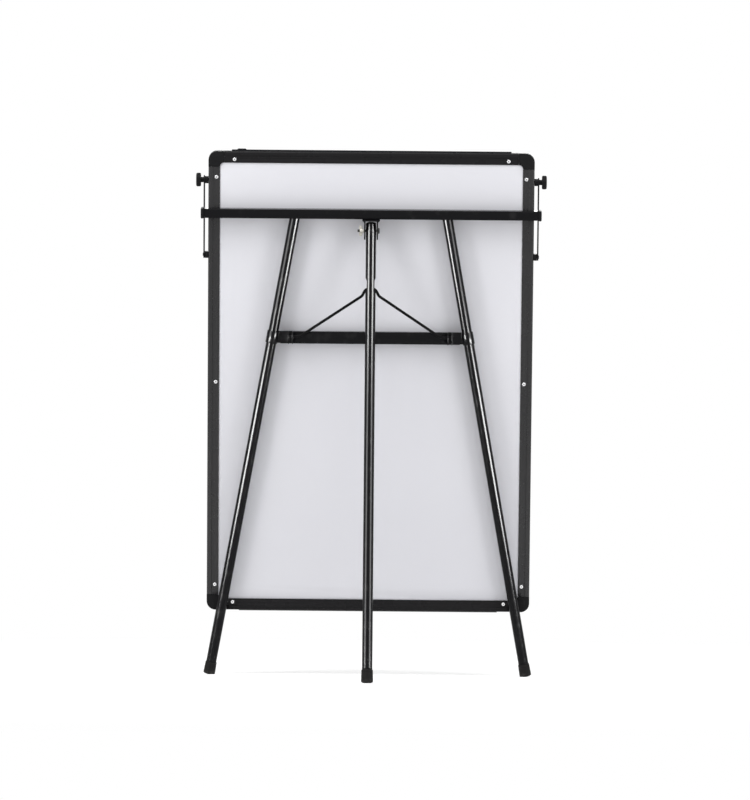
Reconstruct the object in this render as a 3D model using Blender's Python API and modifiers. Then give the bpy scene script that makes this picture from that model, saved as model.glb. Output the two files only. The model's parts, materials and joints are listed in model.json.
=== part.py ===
"""A flip chart easel: a framed writing board on a folding three-legged stand.

Metres, +Z up, floor at z = 0. The board faces -Y and the rear leg opens towards +Y.
Left and right are those of a person in front of the board, so left is -X.
Heights on the stand are measured up the plane of the front legs, which leans back,
and set-backs are measured square to that plane, from the back of the board to the rear.
"""
import math

import bmesh
import bpy

# Clearances
GAP = 0.0003
PIN_GAP = 0.0004
WELD_DISTANCE = 0.00001
FLAT_ANGLE = math.radians(0.5)
OVERRUN = 0.012

# Stand
LEAN = math.radians(9.0)
FOOT_INSET = 0.0065
LEG_TOP_HALF_SPREAD = 0.164
LEG_RADIUS = 0.011
LEG_WALL = 0.001
INNER_LEG_RADIUS = 0.0085
INNER_LEG_WALL = 0.001
INNER_LEG_DROP = 0.2397
GRIP_LENGTH = 0.018
GRIP_SLOPE = 0.002
BUSH_LENGTH = 0.025
BUSH_FLANGE = 0.0015
FOOT_RADIUS = 0.0128
FOOT_TOP_RADIUS = 0.0122
FOOT_HEIGHT = 0.0265
FOOT_EDGE = 0.0022
FOOT_SOLE = 0.006
SOLE_CUT = 0.0012

# Crossbar and what is fixed to its ends
CROSSBAR_DROP = 0.1313
CROSSBAR_HEIGHT = 0.020
CROSSBAR_DEPTH = 0.026
CROSSBAR_WALL = 0.0015
CROSSBAR_EDGE = 0.002
CROSSBAR_SETBACK = 0.004
PLUG_LENGTH = 0.012
STRAP_WIDTH = 0.020
STRAP_THICKNESS = 0.003
STRAP_CORNER = 0.003
STRAP_STANDOFF = 0.0072
STRAP_TAB_MARGIN = 0.001
CAP_THICKNESS = 0.0047
CAP_BEVEL = 0.0012
KNOB_RISE = 0.0685
KNOB_RADIUS = 0.0147
KNOB_RIB_DEPTH = 0.0007
KNOB_RIBS = 20
KNOB_LENGTH = 0.0103
KNOB_NECK_RADIUS = 0.0058
KNOB_NECK_LENGTH = 0.0055
STUD_RADIUS = 0.003
STUD_LENGTH = 0.0165
SPACER_RADIUS = 0.008
NUT_LENGTH = 0.020
SHOE_DROP = 0.0931
SHOE_HEIGHT = 0.0136
SHOE_DEPTH = 0.016
SHOE_STUD_RADIUS = 0.0025
SHOE_STUD_HEAD_RADIUS = 0.004
SHOE_STUD_HEAD_HEIGHT = 0.0012

# Rear leg, its hinge and the stay
REAR_TILT = math.radians(13.87)
REAR_LEG_TOP = 0.017
REAR_PLUG_FLANGE = 0.002
REAR_PLUG_LENGTH = 0.008
HINGE_DROP = 0.0347
HINGE_SETBACK = 0.028
HINGE_BOLT_RADIUS = 0.003
HINGE_BOLT_HEAD_RADIUS = 0.0065
HINGE_BOLT_HEAD_HEIGHT = 0.003
HINGE_BOLT_REACH = 0.029
FORK_HALF_GAP = 0.012
FORK_WALL = 0.003
FORK_FLARE = 0.004
FORK_FLARE_HEIGHT = 0.0055
FORK_EYE_RADIUS = 0.011
FORK_EYE_DROP = 0.0085
FORK_FRONT = 0.007
FORK_REAR = 0.040
FORK_SHOULDER = 0.008
WING_HUB_RADIUS = 0.0048
WING_HUB_LENGTH = 0.0085
WING_SPREAD = 0.0115
WING_THICKNESS = 0.002
WING_LENGTH = 0.0105
WING_SHOULDER = 0.003
BRACE_DROP = 0.2687
BRACE_HEIGHT = 0.026
BRACE_DEPTH = 0.012
BRACE_WALL = 0.0015
CLIP_RISE = 0.0015
CLIP_WALL = 0.0015
CLIP_PLATE = 0.002
CLIP_EAR_OUTER = 0.1765
CLIP_EAR_INNER = 0.168
CLIP_EAR_HEIGHT = 0.0155
STAY_RADIUS = 0.003
STAY_PIN_RISE = 0.0037
STAY_END_HALF_SPREAD = 0.179
STAY_FOOT_HALF_SPREAD = 0.152
STAY_FOOT_BEND = 0.025
STAY_KNEE_HALF_SPREAD = 0.0181
STAY_KNEE_DROP = 0.0154
STAY_KNEE_BEND = 0.012
STAY_TOP_BEND = 0.0145
STAY_REACH_SHARE = 0.5232
STAY_SLOT_SLACK = 0.0042
STAY_SLOT_UPPER_SLACK = 0.0028
STAY_SLOT_LOWER_SLACK = 0.0022

# Board, with heights measured from its bottom edge
BOARD_WIDTH = 0.700
BOARD_HEIGHT = 1.000
BOARD_RISE = 0.137
RAIL_WIDTH = 0.025
RAIL_DEPTH = 0.018
RAIL_EDGE = 0.004
BEAD_WIDTH = 0.010
BEAD_SLOPE = 0.0006
BEAD_STEP = 0.001
BACK_FLANGE = 0.0015
FRONT_FLANGE = 0.0025
RAIL_WEB = 0.003
SLOT_MOUTH = 0.007
SLOT_LIP = 0.002
SLOT_WIDTH = 0.012
SLOT_DEPTH = 0.0045
CORNER_LENGTH = 0.034
CORNER_RADIUS = 0.019
CORNER_FILLET = 0.008
SHEET_THICKNESS = 0.0004
RIVET_RUN = 0.056
RIVET_INSET = 0.0175
RIVET_HEAD_RADIUS = 0.004
RIVET_HEAD_HEIGHT = 0.0013
RIVET_SHANK_RADIUS = 0.002
RIVET_LENGTH = 0.008

# Paper clamp, pad hooks and pen tray on the front of the board
CLAMP_END_MARGIN = 0.050
CLAMP_HEIGHT = 0.067
CLAMP_PLATE = 0.002
CLAMP_PIN_DROP = 0.020
CLAMP_PIN_STANDOFF = 0.009
CLAMP_PIN_RADIUS = 0.002
CLAMP_PIN_HEAD_RADIUS = 0.0032
CLAMP_PIN_HEAD_HEIGHT = 0.0012
CLAMP_EAR_RADIUS = 0.005
CLAMP_TOP_PLATE = 0.0015
JAW_KNUCKLE_RADIUS = 0.0043
JAW_WALL = 0.002
JAW_TOP_RISE = 0.012
JAW_LIP_DROP = 0.029
JAW_BELLY_DROP = 0.018
JAW_BELLY = 0.0005
TAB_INSET = 0.021
TAB_WIDTH = 0.020
TAB_PROUD = 0.0026
TAB_CORNER = 0.003
SPRING_WINDOW = 0.016
SPRING_WIRE_RADIUS = 0.00045
SPRING_TURNS = 5
SPRING_PITCH = 0.0015
SPRING_ARM = 0.006
HOOK_DROP = 0.057
HOOK_OFFSET = 0.140
HOOK_SLOT_START = 0.060
HOOK_SLOT_INSET = 0.010
HOOK_SLOT_HEIGHT = 0.005
HOOK_FLANGE_RADIUS = 0.0055
HOOK_FLANGE = 0.002
HOOK_COLLAR = 0.0015
HOOK_PEG_RADIUS = 0.0025
HOOK_PEG_LENGTH = 0.010
HOOK_HEAD_RADIUS = 0.0036
HOOK_HEAD_LENGTH = 0.003
TRAY_END_MARGIN = 0.070
TRAY_DEPTH = 0.045
TRAY_LIP_HEIGHT = 0.012
TRAY_WALL = 0.0015

# Fineness of round shapes
FINE_STEPS = 24
MEDIUM_STEPS = 16
COARSE_STEPS = 12
CORNER_STEPS = 4

SIDES = (("left", -1), ("right", 1))
ALONG_X = (math.pi / 2, 0, math.pi / 2)
FACING_FRONT = (math.pi / 2, 0, 0)
FACING_REAR = (-math.pi / 2, 0, 0)

# Places that several pieces share
HALF_WIDTH = BOARD_WIDTH / 2
FOOT_HALF_SPREAD = HALF_WIDTH - FOOT_INSET
CLAMP_HALF_LENGTH = HALF_WIDTH - CLAMP_END_MARGIN
TAB_OFFSET = CLAMP_HALF_LENGTH - TAB_INSET
HOOK_SLOT_END = CLAMP_HALF_LENGTH - HOOK_SLOT_INSET
TRAY_HALF_LENGTH = HALF_WIDTH - TRAY_END_MARGIN
CROSSBAR_RISE = BOARD_RISE + BOARD_HEIGHT - CROSSBAR_DROP
BRACE_RISE = CROSSBAR_RISE - BRACE_DROP
CLAMP_BOTTOM = BOARD_HEIGHT - CLAMP_HEIGHT
CLAMP_PIN_RISE = BOARD_HEIGHT - CLAMP_PIN_DROP
HOOK_RISE = BOARD_HEIGHT - HOOK_DROP
STRAP_INNER = HALF_WIDTH + STRAP_STANDOFF
STRAP_OUTER = STRAP_INNER + STRAP_THICKNESS
STRAP_MIDDLE = (STRAP_INNER + STRAP_OUTER) / 2
CROSSBAR_END = STRAP_INNER - GAP
CROSSBAR_AXIS = CROSSBAR_SETBACK + CROSSBAR_DEPTH / 2
CROSSBAR_UNDERSIDE = CROSSBAR_RISE - CROSSBAR_HEIGHT / 2
KNOB_HEIGHT = CROSSBAR_RISE + KNOB_RISE
SHOE_HEIGHT_ON_STAND = CROSSBAR_RISE - SHOE_DROP
SLOT_AXIS = -RAIL_DEPTH / 2
SLOT_FLOOR = SLOT_LIP + SLOT_DEPTH
GROOVE_START = SLOT_FLOOR + RAIL_WEB
BOARD_FRONT = -RAIL_DEPTH
BACK_FLANGE_FACE = -BEAD_STEP
GROOVE_BACK = BACK_FLANGE_FACE - BACK_FLANGE
GROOVE_FRONT = BOARD_FRONT + FRONT_FLANGE
SPLAY = math.atan2(FOOT_HALF_SPREAD - LEG_TOP_HALF_SPREAD, CROSSBAR_UNDERSIDE)
LEG_AXIS = CROSSBAR_AXIS
FRONT_LEG_LENGTH = CROSSBAR_RISE / math.cos(SPLAY)
OUTER_LEG_START = FOOT_HEIGHT + GAP + BUSH_FLANGE + GAP
INNER_LEG_START = FOOT_SOLE + GAP
BORE_RADIUS = LEG_RADIUS - LEG_WALL
HINGE_RISE = CROSSBAR_RISE - HINGE_DROP
FORK_OUTER = FORK_HALF_GAP + FORK_WALL
STAY_PIN_HEIGHT = BRACE_RISE + STAY_PIN_RISE
HINGE_TO_STAY_PIN = HINGE_RISE - STAY_PIN_HEIGHT
STAY_REACH = HINGE_TO_STAY_PIN * STAY_REACH_SHARE
STAY_KNEE_RISE = STAY_REACH - STAY_KNEE_DROP
CLIP_PLATE_FRONT = CROSSBAR_SETBACK + BRACE_DEPTH + GAP
CLAMP_BACK = BOARD_FRONT - GAP
CLAMP_FRONT = CLAMP_BACK - CLAMP_PLATE
CLAMP_PIN_AXIS = BOARD_FRONT - CLAMP_PIN_STANDOFF
TONGUE_NECK_HALF = SLOT_MOUTH / 2 - PIN_GAP
TONGUE_HEAD_HALF = SLOT_WIDTH / 2 - PIN_GAP
TONGUE_SHOULDER = SLOT_LIP + GAP
TONGUE_TIP = SLOT_FLOOR - GAP


def sole_height(tilt):
    """Height of the middle of a round sole that is tilted and stands on its cut edge."""
    return FOOT_RADIUS * math.sin(tilt) - SOLE_CUT


FRONT_TILT = math.acos(math.cos(SPLAY) * math.cos(LEAN))
STAND_BASE = sole_height(FRONT_TILT) + LEG_AXIS * math.sin(LEAN)
HINGE_HEIGHT = STAND_BASE + HINGE_RISE * math.cos(LEAN) - HINGE_SETBACK * math.sin(LEAN)
REAR_LEG_LENGTH = (HINGE_HEIGHT - sole_height(REAR_TILT)) / math.cos(REAR_TILT)
INNER_LEG_TOP = REAR_LEG_LENGTH - INNER_LEG_DROP
LEG_OPENING = LEAN + REAR_TILT


def stay_opening():
    """Angle of the open stay from the plane of the front legs, and its place on the rear leg."""
    along = HINGE_TO_STAY_PIN * math.cos(LEG_OPENING)
    across = HINGE_TO_STAY_PIN * math.sin(LEG_OPENING)
    place = along - math.sqrt(STAY_REACH ** 2 - across ** 2)
    angle = math.asin(place * math.sin(LEG_OPENING) / STAY_REACH)
    return angle, place


STAY_OPENING, STAY_OPEN_PLACE = stay_opening()
STAY_FOLDED_PLACE = HINGE_TO_STAY_PIN - STAY_REACH


def clear_scene():
    for item in list(bpy.data.objects):
        bpy.data.objects.remove(item, do_unlink=True)


def new_collection(name):
    collection = bpy.data.collections.new(name)
    bpy.context.scene.collection.children.link(collection)
    return collection


clear_scene()
PARTS = new_collection("flip_chart_easel")
CUTTERS = new_collection("cutters")


def new_material(name, colour, roughness, metallic):
    material = bpy.data.materials.new(name)
    material.use_nodes = True
    shader = material.node_tree.nodes["Principled BSDF"]
    shader.inputs["Base Color"].default_value = (*colour, 1)
    shader.inputs["Roughness"].default_value = roughness
    shader.inputs["Metallic"].default_value = metallic
    return material


BLACK_STEEL = new_material("black_steel", (0.012, 0.012, 0.014), 0.25, 0.1)
BLACK_RAIL = new_material("black_rail", (0.03, 0.028, 0.03), 0.4, 0.2)
BLACK_PLASTIC = new_material("black_plastic", (0.02, 0.02, 0.021), 0.5, 0)
BLACK_RUBBER = new_material("black_rubber", (0.022, 0.021, 0.021), 0.7, 0)
BRIGHT_STEEL = new_material("bright_steel", (0.62, 0.62, 0.63), 0.3, 1)
YELLOW_ZINC = new_material("yellow_zinc", (0.55, 0.5, 0.38), 0.35, 1)
BACK_STEEL = new_material("galvanised_back", (0.66, 0.66, 0.7), 0.45, 0.3)
WHITE_STEEL = new_material("white_enamel", (0.86, 0.87, 0.88), 0.15, 0)
CORE_BOARD = new_material("core_board", (0.5, 0.4, 0.28), 0.9, 0)


def place(item, parent, location=(0, 0, 0), rotation=(0, 0, 0)):
    item.parent = parent
    item.location = location
    item.rotation_euler = rotation
    return item


def add_empty(name, parent=None, location=(0, 0, 0), rotation=(0, 0, 0)):
    empty = bpy.data.objects.new(name, None)
    PARTS.objects.link(empty)
    return place(empty, parent, location, rotation)


def add_part(name, mesh, material, parent, location=(0, 0, 0), rotation=(0, 0, 0)):
    item = bpy.data.objects.new(name, mesh)
    PARTS.objects.link(item)
    if not mesh.materials:
        mesh.materials.append(material)
    return place(item, parent, location, rotation)


def add_cutter(name, mesh, parent, location=(0, 0, 0), rotation=(0, 0, 0)):
    item = bpy.data.objects.new(name, mesh)
    CUTTERS.objects.link(item)
    item.hide_render = True
    item.display_type = "WIRE"
    return place(item, parent, location, rotation)


def add_boolean(item, other, operation="DIFFERENCE"):
    modifier = item.modifiers.new(other.name, "BOOLEAN")
    modifier.object = other
    modifier.operation = operation


def add_bevel(item, width, segments=2):
    modifier = item.modifiers.new("edges", "BEVEL")
    modifier.width = width
    modifier.segments = segments
    modifier.limit_method = "ANGLE"


def mesh_from(name, model):
    bmesh.ops.recalc_face_normals(model, faces=model.faces)
    mesh = bpy.data.meshes.new(name)
    model.to_mesh(mesh)
    model.free()
    mesh.shade_smooth()
    mesh.set_sharp_from_angle(angle=math.radians(35))
    return mesh


def box_mesh(name, low, high):
    """A box between two corners."""
    model = bmesh.new()
    bmesh.ops.create_cube(model, size=1)
    for vertex in model.verts:
        for axis in range(3):
            share = vertex.co[axis] + 0.5
            vertex.co[axis] = low[axis] + share * (high[axis] - low[axis])
    return mesh_from(name, model)


def cylinder_mesh(name, radius, start, end, steps=COARSE_STEPS, places=((0, 0),)):
    """Cylinders along Z, one at each place."""
    model = bmesh.new()
    for x, y in places:
        made = bmesh.ops.create_cone(
            model, cap_ends=True, segments=steps, radius1=radius, radius2=radius, depth=end - start)
        bmesh.ops.translate(model, verts=made["verts"], vec=(x, y, (start + end) / 2))
    return mesh_from(name, model)


def outline_mesh(name, loops, thickness):
    """A flat outline with its holes, in XY, as thick along Z as given."""
    curve = bpy.data.curves.new(name, "CURVE")
    curve.dimensions = "2D"
    curve.fill_mode = "BOTH"
    curve.extrude = thickness / 2
    for loop in loops:
        spline = curve.splines.new("POLY")
        spline.points.add(len(loop) - 1)
        for point, (x, y) in zip(spline.points, loop):
            point.co = (x, y, 0, 1)
        spline.use_cyclic_u = True
    item = bpy.data.objects.new(name, curve)
    bpy.context.scene.collection.objects.link(item)
    graph = bpy.context.evaluated_depsgraph_get()
    filled = bpy.data.meshes.new_from_object(item.evaluated_get(graph))
    bpy.data.objects.remove(item, do_unlink=True)
    model = bmesh.new()
    model.from_mesh(filled)
    bmesh.ops.remove_doubles(model, verts=model.verts, dist=WELD_DISTANCE)
    bmesh.ops.dissolve_limit(model, angle_limit=FLAT_ANGLE, verts=model.verts, edges=model.edges)
    return mesh_from(name, model)


def profile_mesh(name, profile, closed=False):
    """A line in the XZ plane, for the Screw modifier to turn."""
    model = bmesh.new()
    vertices = [model.verts.new((radius, 0, height)) for radius, height in profile]
    for first, second in zip(vertices, vertices[1:]):
        model.edges.new((first, second))
    if closed:
        model.edges.new((vertices[-1], vertices[0]))
    mesh = bpy.data.meshes.new(name)
    model.to_mesh(mesh)
    model.free()
    return mesh


def turn(item, steps):
    modifier = item.modifiers.new("turned", "SCREW")
    modifier.steps = steps
    modifier.render_steps = steps
    modifier.use_merge_vertices = True
    modifier.merge_threshold = WELD_DISTANCE
    modifier.use_smooth_shade = True
    return item


def add_turned(name, profile, material, parent, location=(0, 0, 0), rotation=(0, 0, 0),
               steps=FINE_STEPS, closed=False):
    """A turned piece about its own Z. The profile runs down the outer side."""
    mesh = profile_mesh(name, profile, closed)
    return turn(add_part(name, mesh, material, parent, location, rotation), steps)


def ring(outer, inner, top, bottom):
    """Profile of a tube or ring, for a closed turned shape."""
    return [(outer, top), (outer, bottom), (inner, bottom), (inner, top)]


def pin_profile(radius, length, head_radius, head_height):
    """Profile of a headed pin: the head stands above zero and the shank hangs below."""
    dome_share = 0.6
    return [(0, head_height), (head_radius * dome_share, head_height),
            (head_radius, head_height * dome_share), (head_radius, 0),
            (radius, 0), (radius, -length), (0, -length)]


def along_x(side):
    """Turns a piece so that its own Z points outwards on that side."""
    return (0, side * math.pi / 2, 0)


def arc(centre, radius, start, end, steps=CORNER_STEPS):
    """Points of an arc, angles in degrees."""
    points = []
    for step in range(steps + 1):
        angle = math.radians(start + (end - start) * step / steps)
        points.append((centre[0] + radius * math.cos(angle), centre[1] + radius * math.sin(angle)))
    return points


def circle(centre, radius, steps=COARSE_STEPS):
    return arc(centre, radius, 0, 360, steps)[:-1]


def rounded_box(low, high, radius):
    (left, bottom), (right, top) = low, high
    return (arc((right - radius, top - radius), radius, 0, 90, 2)
            + arc((left + radius, top - radius), radius, 90, 180, 2)
            + arc((left + radius, bottom + radius), radius, 180, 270, 2)
            + arc((right - radius, bottom + radius), radius, 270, 360, 2))


def plain_box(low, high):
    return [(low[0], low[1]), (high[0], low[1]), (high[0], high[1]), (low[0], high[1])]


# Frames: each moving group hangs on an empty that sits on its joint
ROOT = add_empty("easel")
STAND = add_empty("stand_plane", ROOT, (0, 0, STAND_BASE), (-LEAN, 0, 0))
BOARD = add_empty("board_slide", STAND, (0, 0, BOARD_RISE))
REAR_LEG = add_empty("rear_leg_pivot", STAND, (0, HINGE_SETBACK, HINGE_RISE), (LEG_OPENING, 0, 0))
STAY = add_empty("stay_pivot", STAND, (0, HINGE_SETBACK, STAY_PIN_HEIGHT), (-STAY_OPENING, 0, 0))
JAW = add_empty("clamp_jaw_pivot", BOARD, (0, CLAMP_PIN_AXIS, CLAMP_PIN_RISE))
FLOOR_CUTTER = add_cutter("below_floor", box_mesh(
    "below_floor", (-BOARD_WIDTH, -BOARD_HEIGHT, -BOARD_RISE), (BOARD_WIDTH, BOARD_HEIGHT, 0)), ROOT)


def build_crossbar():
    outer = rounded_box((CROSSBAR_SETBACK, -CROSSBAR_HEIGHT / 2),
                        (CROSSBAR_SETBACK + CROSSBAR_DEPTH, CROSSBAR_HEIGHT / 2), CROSSBAR_EDGE)
    inner = plain_box((CROSSBAR_SETBACK + CROSSBAR_WALL, -CROSSBAR_HEIGHT / 2 + CROSSBAR_WALL),
                      (CROSSBAR_SETBACK + CROSSBAR_DEPTH - CROSSBAR_WALL,
                       CROSSBAR_HEIGHT / 2 - CROSSBAR_WALL))
    mesh = outline_mesh("crossbar", [outer, inner], 2 * CROSSBAR_END)
    add_part("crossbar", mesh, BLACK_STEEL, STAND, (0, 0, CROSSBAR_RISE), ALONG_X)


def strap_outline():
    """Outline of a side strap in set-back and height, with a tab behind for the crossbar."""
    front = SLOT_AXIS - STRAP_WIDTH / 2
    rear = SLOT_AXIS + STRAP_WIDTH / 2
    bottom = SHOE_HEIGHT_ON_STAND - SHOE_HEIGHT / 2
    tab_end = CROSSBAR_SETBACK + CROSSBAR_DEPTH + STRAP_TAB_MARGIN
    tab_half = CROSSBAR_HEIGHT / 2 + STRAP_TAB_MARGIN
    tab_low = CROSSBAR_RISE - tab_half
    tab_high = CROSSBAR_RISE + tab_half
    corner = STRAP_CORNER
    outline = arc((front + corner, bottom + corner), corner, 180, 270, 2)
    outline += arc((rear - corner, bottom + corner), corner, 270, 360, 2)
    outline += arc((rear + corner, tab_low - corner), corner, 180, 90, 2)
    outline += arc((tab_end - corner, tab_low + corner), corner, 270, 360, 2)
    outline += arc((tab_end - corner, tab_high - corner), corner, 0, 90, 2)
    outline += arc((rear + corner, tab_high + corner), corner, 270, 180, 2)
    outline += arc((SLOT_AXIS, KNOB_HEIGHT), STRAP_WIDTH / 2, 0, 180, 8)
    half_depth = CROSSBAR_DEPTH / 2 - CROSSBAR_WALL
    half_height = CROSSBAR_HEIGHT / 2 - CROSSBAR_WALL
    window = plain_box((CROSSBAR_AXIS - half_depth, CROSSBAR_RISE - half_height),
                       (CROSSBAR_AXIS + half_depth, CROSSBAR_RISE + half_height))
    return [outline, window, circle((SLOT_AXIS, SHOE_HEIGHT_ON_STAND), SHOE_STUD_RADIUS + GAP)]


def build_side_straps():
    """Steel straps welded to the crossbar's ends, each with a spacer bush for its knob."""
    for name, side in SIDES:
        mesh = outline_mesh(f"side_strap_{name}", strap_outline(), STRAP_THICKNESS)
        strap = add_part(f"side_strap_{name}", mesh, BLACK_STEEL, STAND, (side * STRAP_MIDDLE, 0, 0),
                         ALONG_X)
        knob = (0, SLOT_AXIS, KNOB_HEIGHT)
        bush = add_cutter(f"spacer_bush_{name}", cylinder_mesh(
            "spacer_bush", SPACER_RADIUS, HALF_WIDTH + GAP, STRAP_MIDDLE, MEDIUM_STEPS), STAND, knob,
            along_x(side))
        bore = add_cutter(f"strap_bore_{name}", cylinder_mesh(
            "strap_bore", STUD_RADIUS + PIN_GAP, HALF_WIDTH - OVERRUN, STRAP_OUTER + OVERRUN,
            MEDIUM_STEPS), STAND, knob, along_x(side))
        add_boolean(strap, bush, "UNION")
        add_boolean(strap, bore)


def build_crossbar_caps():
    """Plastic end caps whose plugs go through the straps' windows into the crossbar."""
    half_depth = CROSSBAR_DEPTH / 2 + STRAP_TAB_MARGIN
    half_height = CROSSBAR_HEIGHT / 2 + STRAP_TAB_MARGIN
    plug_depth = CROSSBAR_DEPTH / 2 - CROSSBAR_WALL - GAP
    plug_height = CROSSBAR_HEIGHT / 2 - CROSSBAR_WALL - GAP
    for name, side in SIDES:
        pivot = add_empty(f"crossbar_cap_{name}_seat", STAND,
                          (side * (STRAP_OUTER + GAP), CROSSBAR_AXIS, CROSSBAR_RISE), along_x(side))
        block = box_mesh(f"crossbar_cap_{name}", (-half_height, -half_depth, 0),
                         (half_height, half_depth, CAP_THICKNESS))
        cap = add_part(f"crossbar_cap_{name}", block, BLACK_PLASTIC, pivot)
        add_bevel(cap, CAP_BEVEL)
        plug = add_cutter(f"cap_plug_{name}", box_mesh(
            "cap_plug", (-plug_height, -plug_depth, -STRAP_THICKNESS - PLUG_LENGTH),
            (plug_height, plug_depth, CAP_THICKNESS / 2)), pivot)
        add_boolean(cap, plug, "UNION")


def build_knobs():
    """Ribbed clamp knobs with a neck and a stud that reaches into the T-nut."""
    ribs = 2 * KNOB_RIBS
    outline = []
    for step in range(ribs):
        angle = 2 * math.pi * step / ribs
        radius = KNOB_RADIUS - KNOB_RIB_DEPTH * (step % 2)
        outline.append((radius * math.cos(angle), radius * math.sin(angle)))
    head_mesh = outline_mesh("knob_head", [outline], KNOB_LENGTH)
    middle = KNOB_NECK_LENGTH + KNOB_LENGTH / 2
    stem_profile = [(0, middle), (KNOB_NECK_RADIUS, middle), (KNOB_NECK_RADIUS, 0),
                    (STUD_RADIUS, 0), (STUD_RADIUS, -STUD_LENGTH), (0, -STUD_LENGTH)]
    for name, side in SIDES:
        pivot = add_empty(f"knob_{name}_axis", STAND,
                          (side * (STRAP_OUTER + GAP), SLOT_AXIS, KNOB_HEIGHT), along_x(side))
        stem = turn(add_cutter(f"knob_stem_{name}", profile_mesh("knob_stem", stem_profile), pivot),
                    MEDIUM_STEPS)
        knob = add_part(f"knob_{name}", head_mesh, BLACK_PLASTIC, pivot, (0, 0, middle))
        add_boolean(knob, stem, "UNION")


def build_slot_nuts():
    """T-nuts that ride in the side rails and take the knobs' studs."""
    outline = plain_box((-TONGUE_HEAD_HALF, -NUT_LENGTH / 2), (TONGUE_HEAD_HALF, NUT_LENGTH / 2))
    mesh = outline_mesh("slot_nut", [outline, circle((0, 0), STUD_RADIUS + GAP, MEDIUM_STEPS)],
                        TONGUE_TIP - TONGUE_SHOULDER)
    middle = HALF_WIDTH - (TONGUE_TIP + TONGUE_SHOULDER) / 2
    for name, side in SIDES:
        add_part(f"slot_nut_{name}", mesh, BRIGHT_STEEL, STAND, (side * middle, SLOT_AXIS, KNOB_HEIGHT),
                 ALONG_X)


def tongue(start):
    """Half outline of a T-tongue: distance into the rail from its edge, and half width."""
    return [(start, TONGUE_NECK_HALF), (TONGUE_SHOULDER, TONGUE_NECK_HALF),
            (TONGUE_SHOULDER + PIN_GAP, TONGUE_HEAD_HALF), (TONGUE_TIP, TONGUE_HEAD_HALF)]


def build_guide_shoes():
    """Plastic shoes that run in the side rails' slots, snapped into the straps' lower ends."""
    outer = HALF_WIDTH - STRAP_INNER + GAP
    half = [(outer, SHOE_DEPTH / 2), (-GAP, SHOE_DEPTH / 2)] + tongue(-GAP)
    outline = half + [(a, -y) for a, y in reversed(half)]
    head_seat = STRAP_OUTER + GAP
    head_top = head_seat + SHOE_STUD_HEAD_HEIGHT
    stud_profile = [(0, head_top), (SHOE_STUD_RADIUS, head_top),
                    (SHOE_STUD_HEAD_RADIUS, head_top - SHOE_STUD_HEAD_HEIGHT / 2),
                    (SHOE_STUD_HEAD_RADIUS, head_seat), (SHOE_STUD_RADIUS, head_seat),
                    (SHOE_STUD_RADIUS, HALF_WIDTH), (0, HALF_WIDTH)]
    for name, side in SIDES:
        shape = [(side * (HALF_WIDTH - a), y) for a, y in outline]
        seat = (0, SLOT_AXIS, SHOE_HEIGHT_ON_STAND)
        shoe = add_part(f"guide_shoe_{name}", outline_mesh(f"guide_shoe_{name}", [shape], SHOE_HEIGHT),
                        BLACK_PLASTIC, STAND, seat)
        stud = add_cutter(f"shoe_stud_{name}", profile_mesh("shoe_stud", stud_profile), STAND, seat,
                          along_x(side))
        add_boolean(shoe, turn(stud, COARSE_STEPS), "UNION")


def foot_profile():
    """Foot cap, top to bottom down its outer side, with a socket for the inner leg."""
    socket = INNER_LEG_RADIUS + GAP
    return [(socket, FOOT_HEIGHT), (FOOT_TOP_RADIUS, FOOT_HEIGHT), (FOOT_RADIUS, FOOT_HEIGHT / 2),
            (FOOT_RADIUS, FOOT_EDGE), (FOOT_RADIUS - FOOT_EDGE / 4, FOOT_EDGE / 3),
            (FOOT_RADIUS - FOOT_EDGE, 0), (0, 0)]


def foot_inside():
    socket = INNER_LEG_RADIUS + GAP
    return [(0, FOOT_SOLE), (socket, FOOT_SOLE)]


def build_leg_end(name, axis):
    """Inner leg, swelled at its top to grip the outer leg's bore, with its foot cap."""
    inside = INNER_LEG_RADIUS - INNER_LEG_WALL
    grip = BORE_RADIUS - GAP
    grip_end = INNER_LEG_TOP - GRIP_LENGTH
    tube = [(grip, INNER_LEG_TOP), (grip, grip_end), (INNER_LEG_RADIUS, grip_end - GRIP_SLOPE),
            (INNER_LEG_RADIUS, INNER_LEG_START), (inside, INNER_LEG_START),
            (inside, grip_end - GRIP_SLOPE), (grip - INNER_LEG_WALL, grip_end),
            (grip - INNER_LEG_WALL, INNER_LEG_TOP)]
    add_turned(f"{name}_inner_leg", tube, BRIGHT_STEEL, axis, closed=True)
    foot = add_turned(f"{name}_foot_cap", foot_inside() + foot_profile(), BLACK_RUBBER, axis)
    add_boolean(foot, FLOOR_CUTTER)


def bush_profile():
    """Guide bush that plugs into the lower end of an outer leg."""
    inner = INNER_LEG_RADIUS + GAP
    grip = BORE_RADIUS - GAP
    flange = FOOT_HEIGHT + GAP
    seat = flange + BUSH_FLANGE
    return [(grip, seat + BUSH_LENGTH), (grip, seat), (LEG_RADIUS, seat), (LEG_RADIUS, flange),
            (inner, flange), (inner, seat + BUSH_LENGTH)]


def build_front_legs():
    """Outer front legs, cut off level under the crossbar, with all that slides in them."""
    wide = FOOT_HALF_SPREAD
    above_legs = add_cutter("above_front_legs", box_mesh(
        "above_front_legs", (-wide, -OVERRUN, CROSSBAR_UNDERSIDE - GAP),
        (wide, CROSSBAR_DEPTH + 2 * OVERRUN, FRONT_LEG_LENGTH + 2 * OVERRUN)), STAND)
    for name, side in SIDES:
        axis = add_empty(f"front_leg_{name}_axis", STAND, (side * FOOT_HALF_SPREAD, LEG_AXIS, 0),
                         (0, -side * SPLAY, 0))
        tube = ring(LEG_RADIUS, BORE_RADIUS, FRONT_LEG_LENGTH, OUTER_LEG_START)
        leg = add_turned(f"front_{name}_outer_leg", tube, BLACK_STEEL, axis, closed=True)
        add_boolean(leg, above_legs)
        add_turned(f"front_{name}_leg_bush", bush_profile(), BLACK_PLASTIC, axis, closed=True)
        build_leg_end(f"front_{name}", axis)


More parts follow.
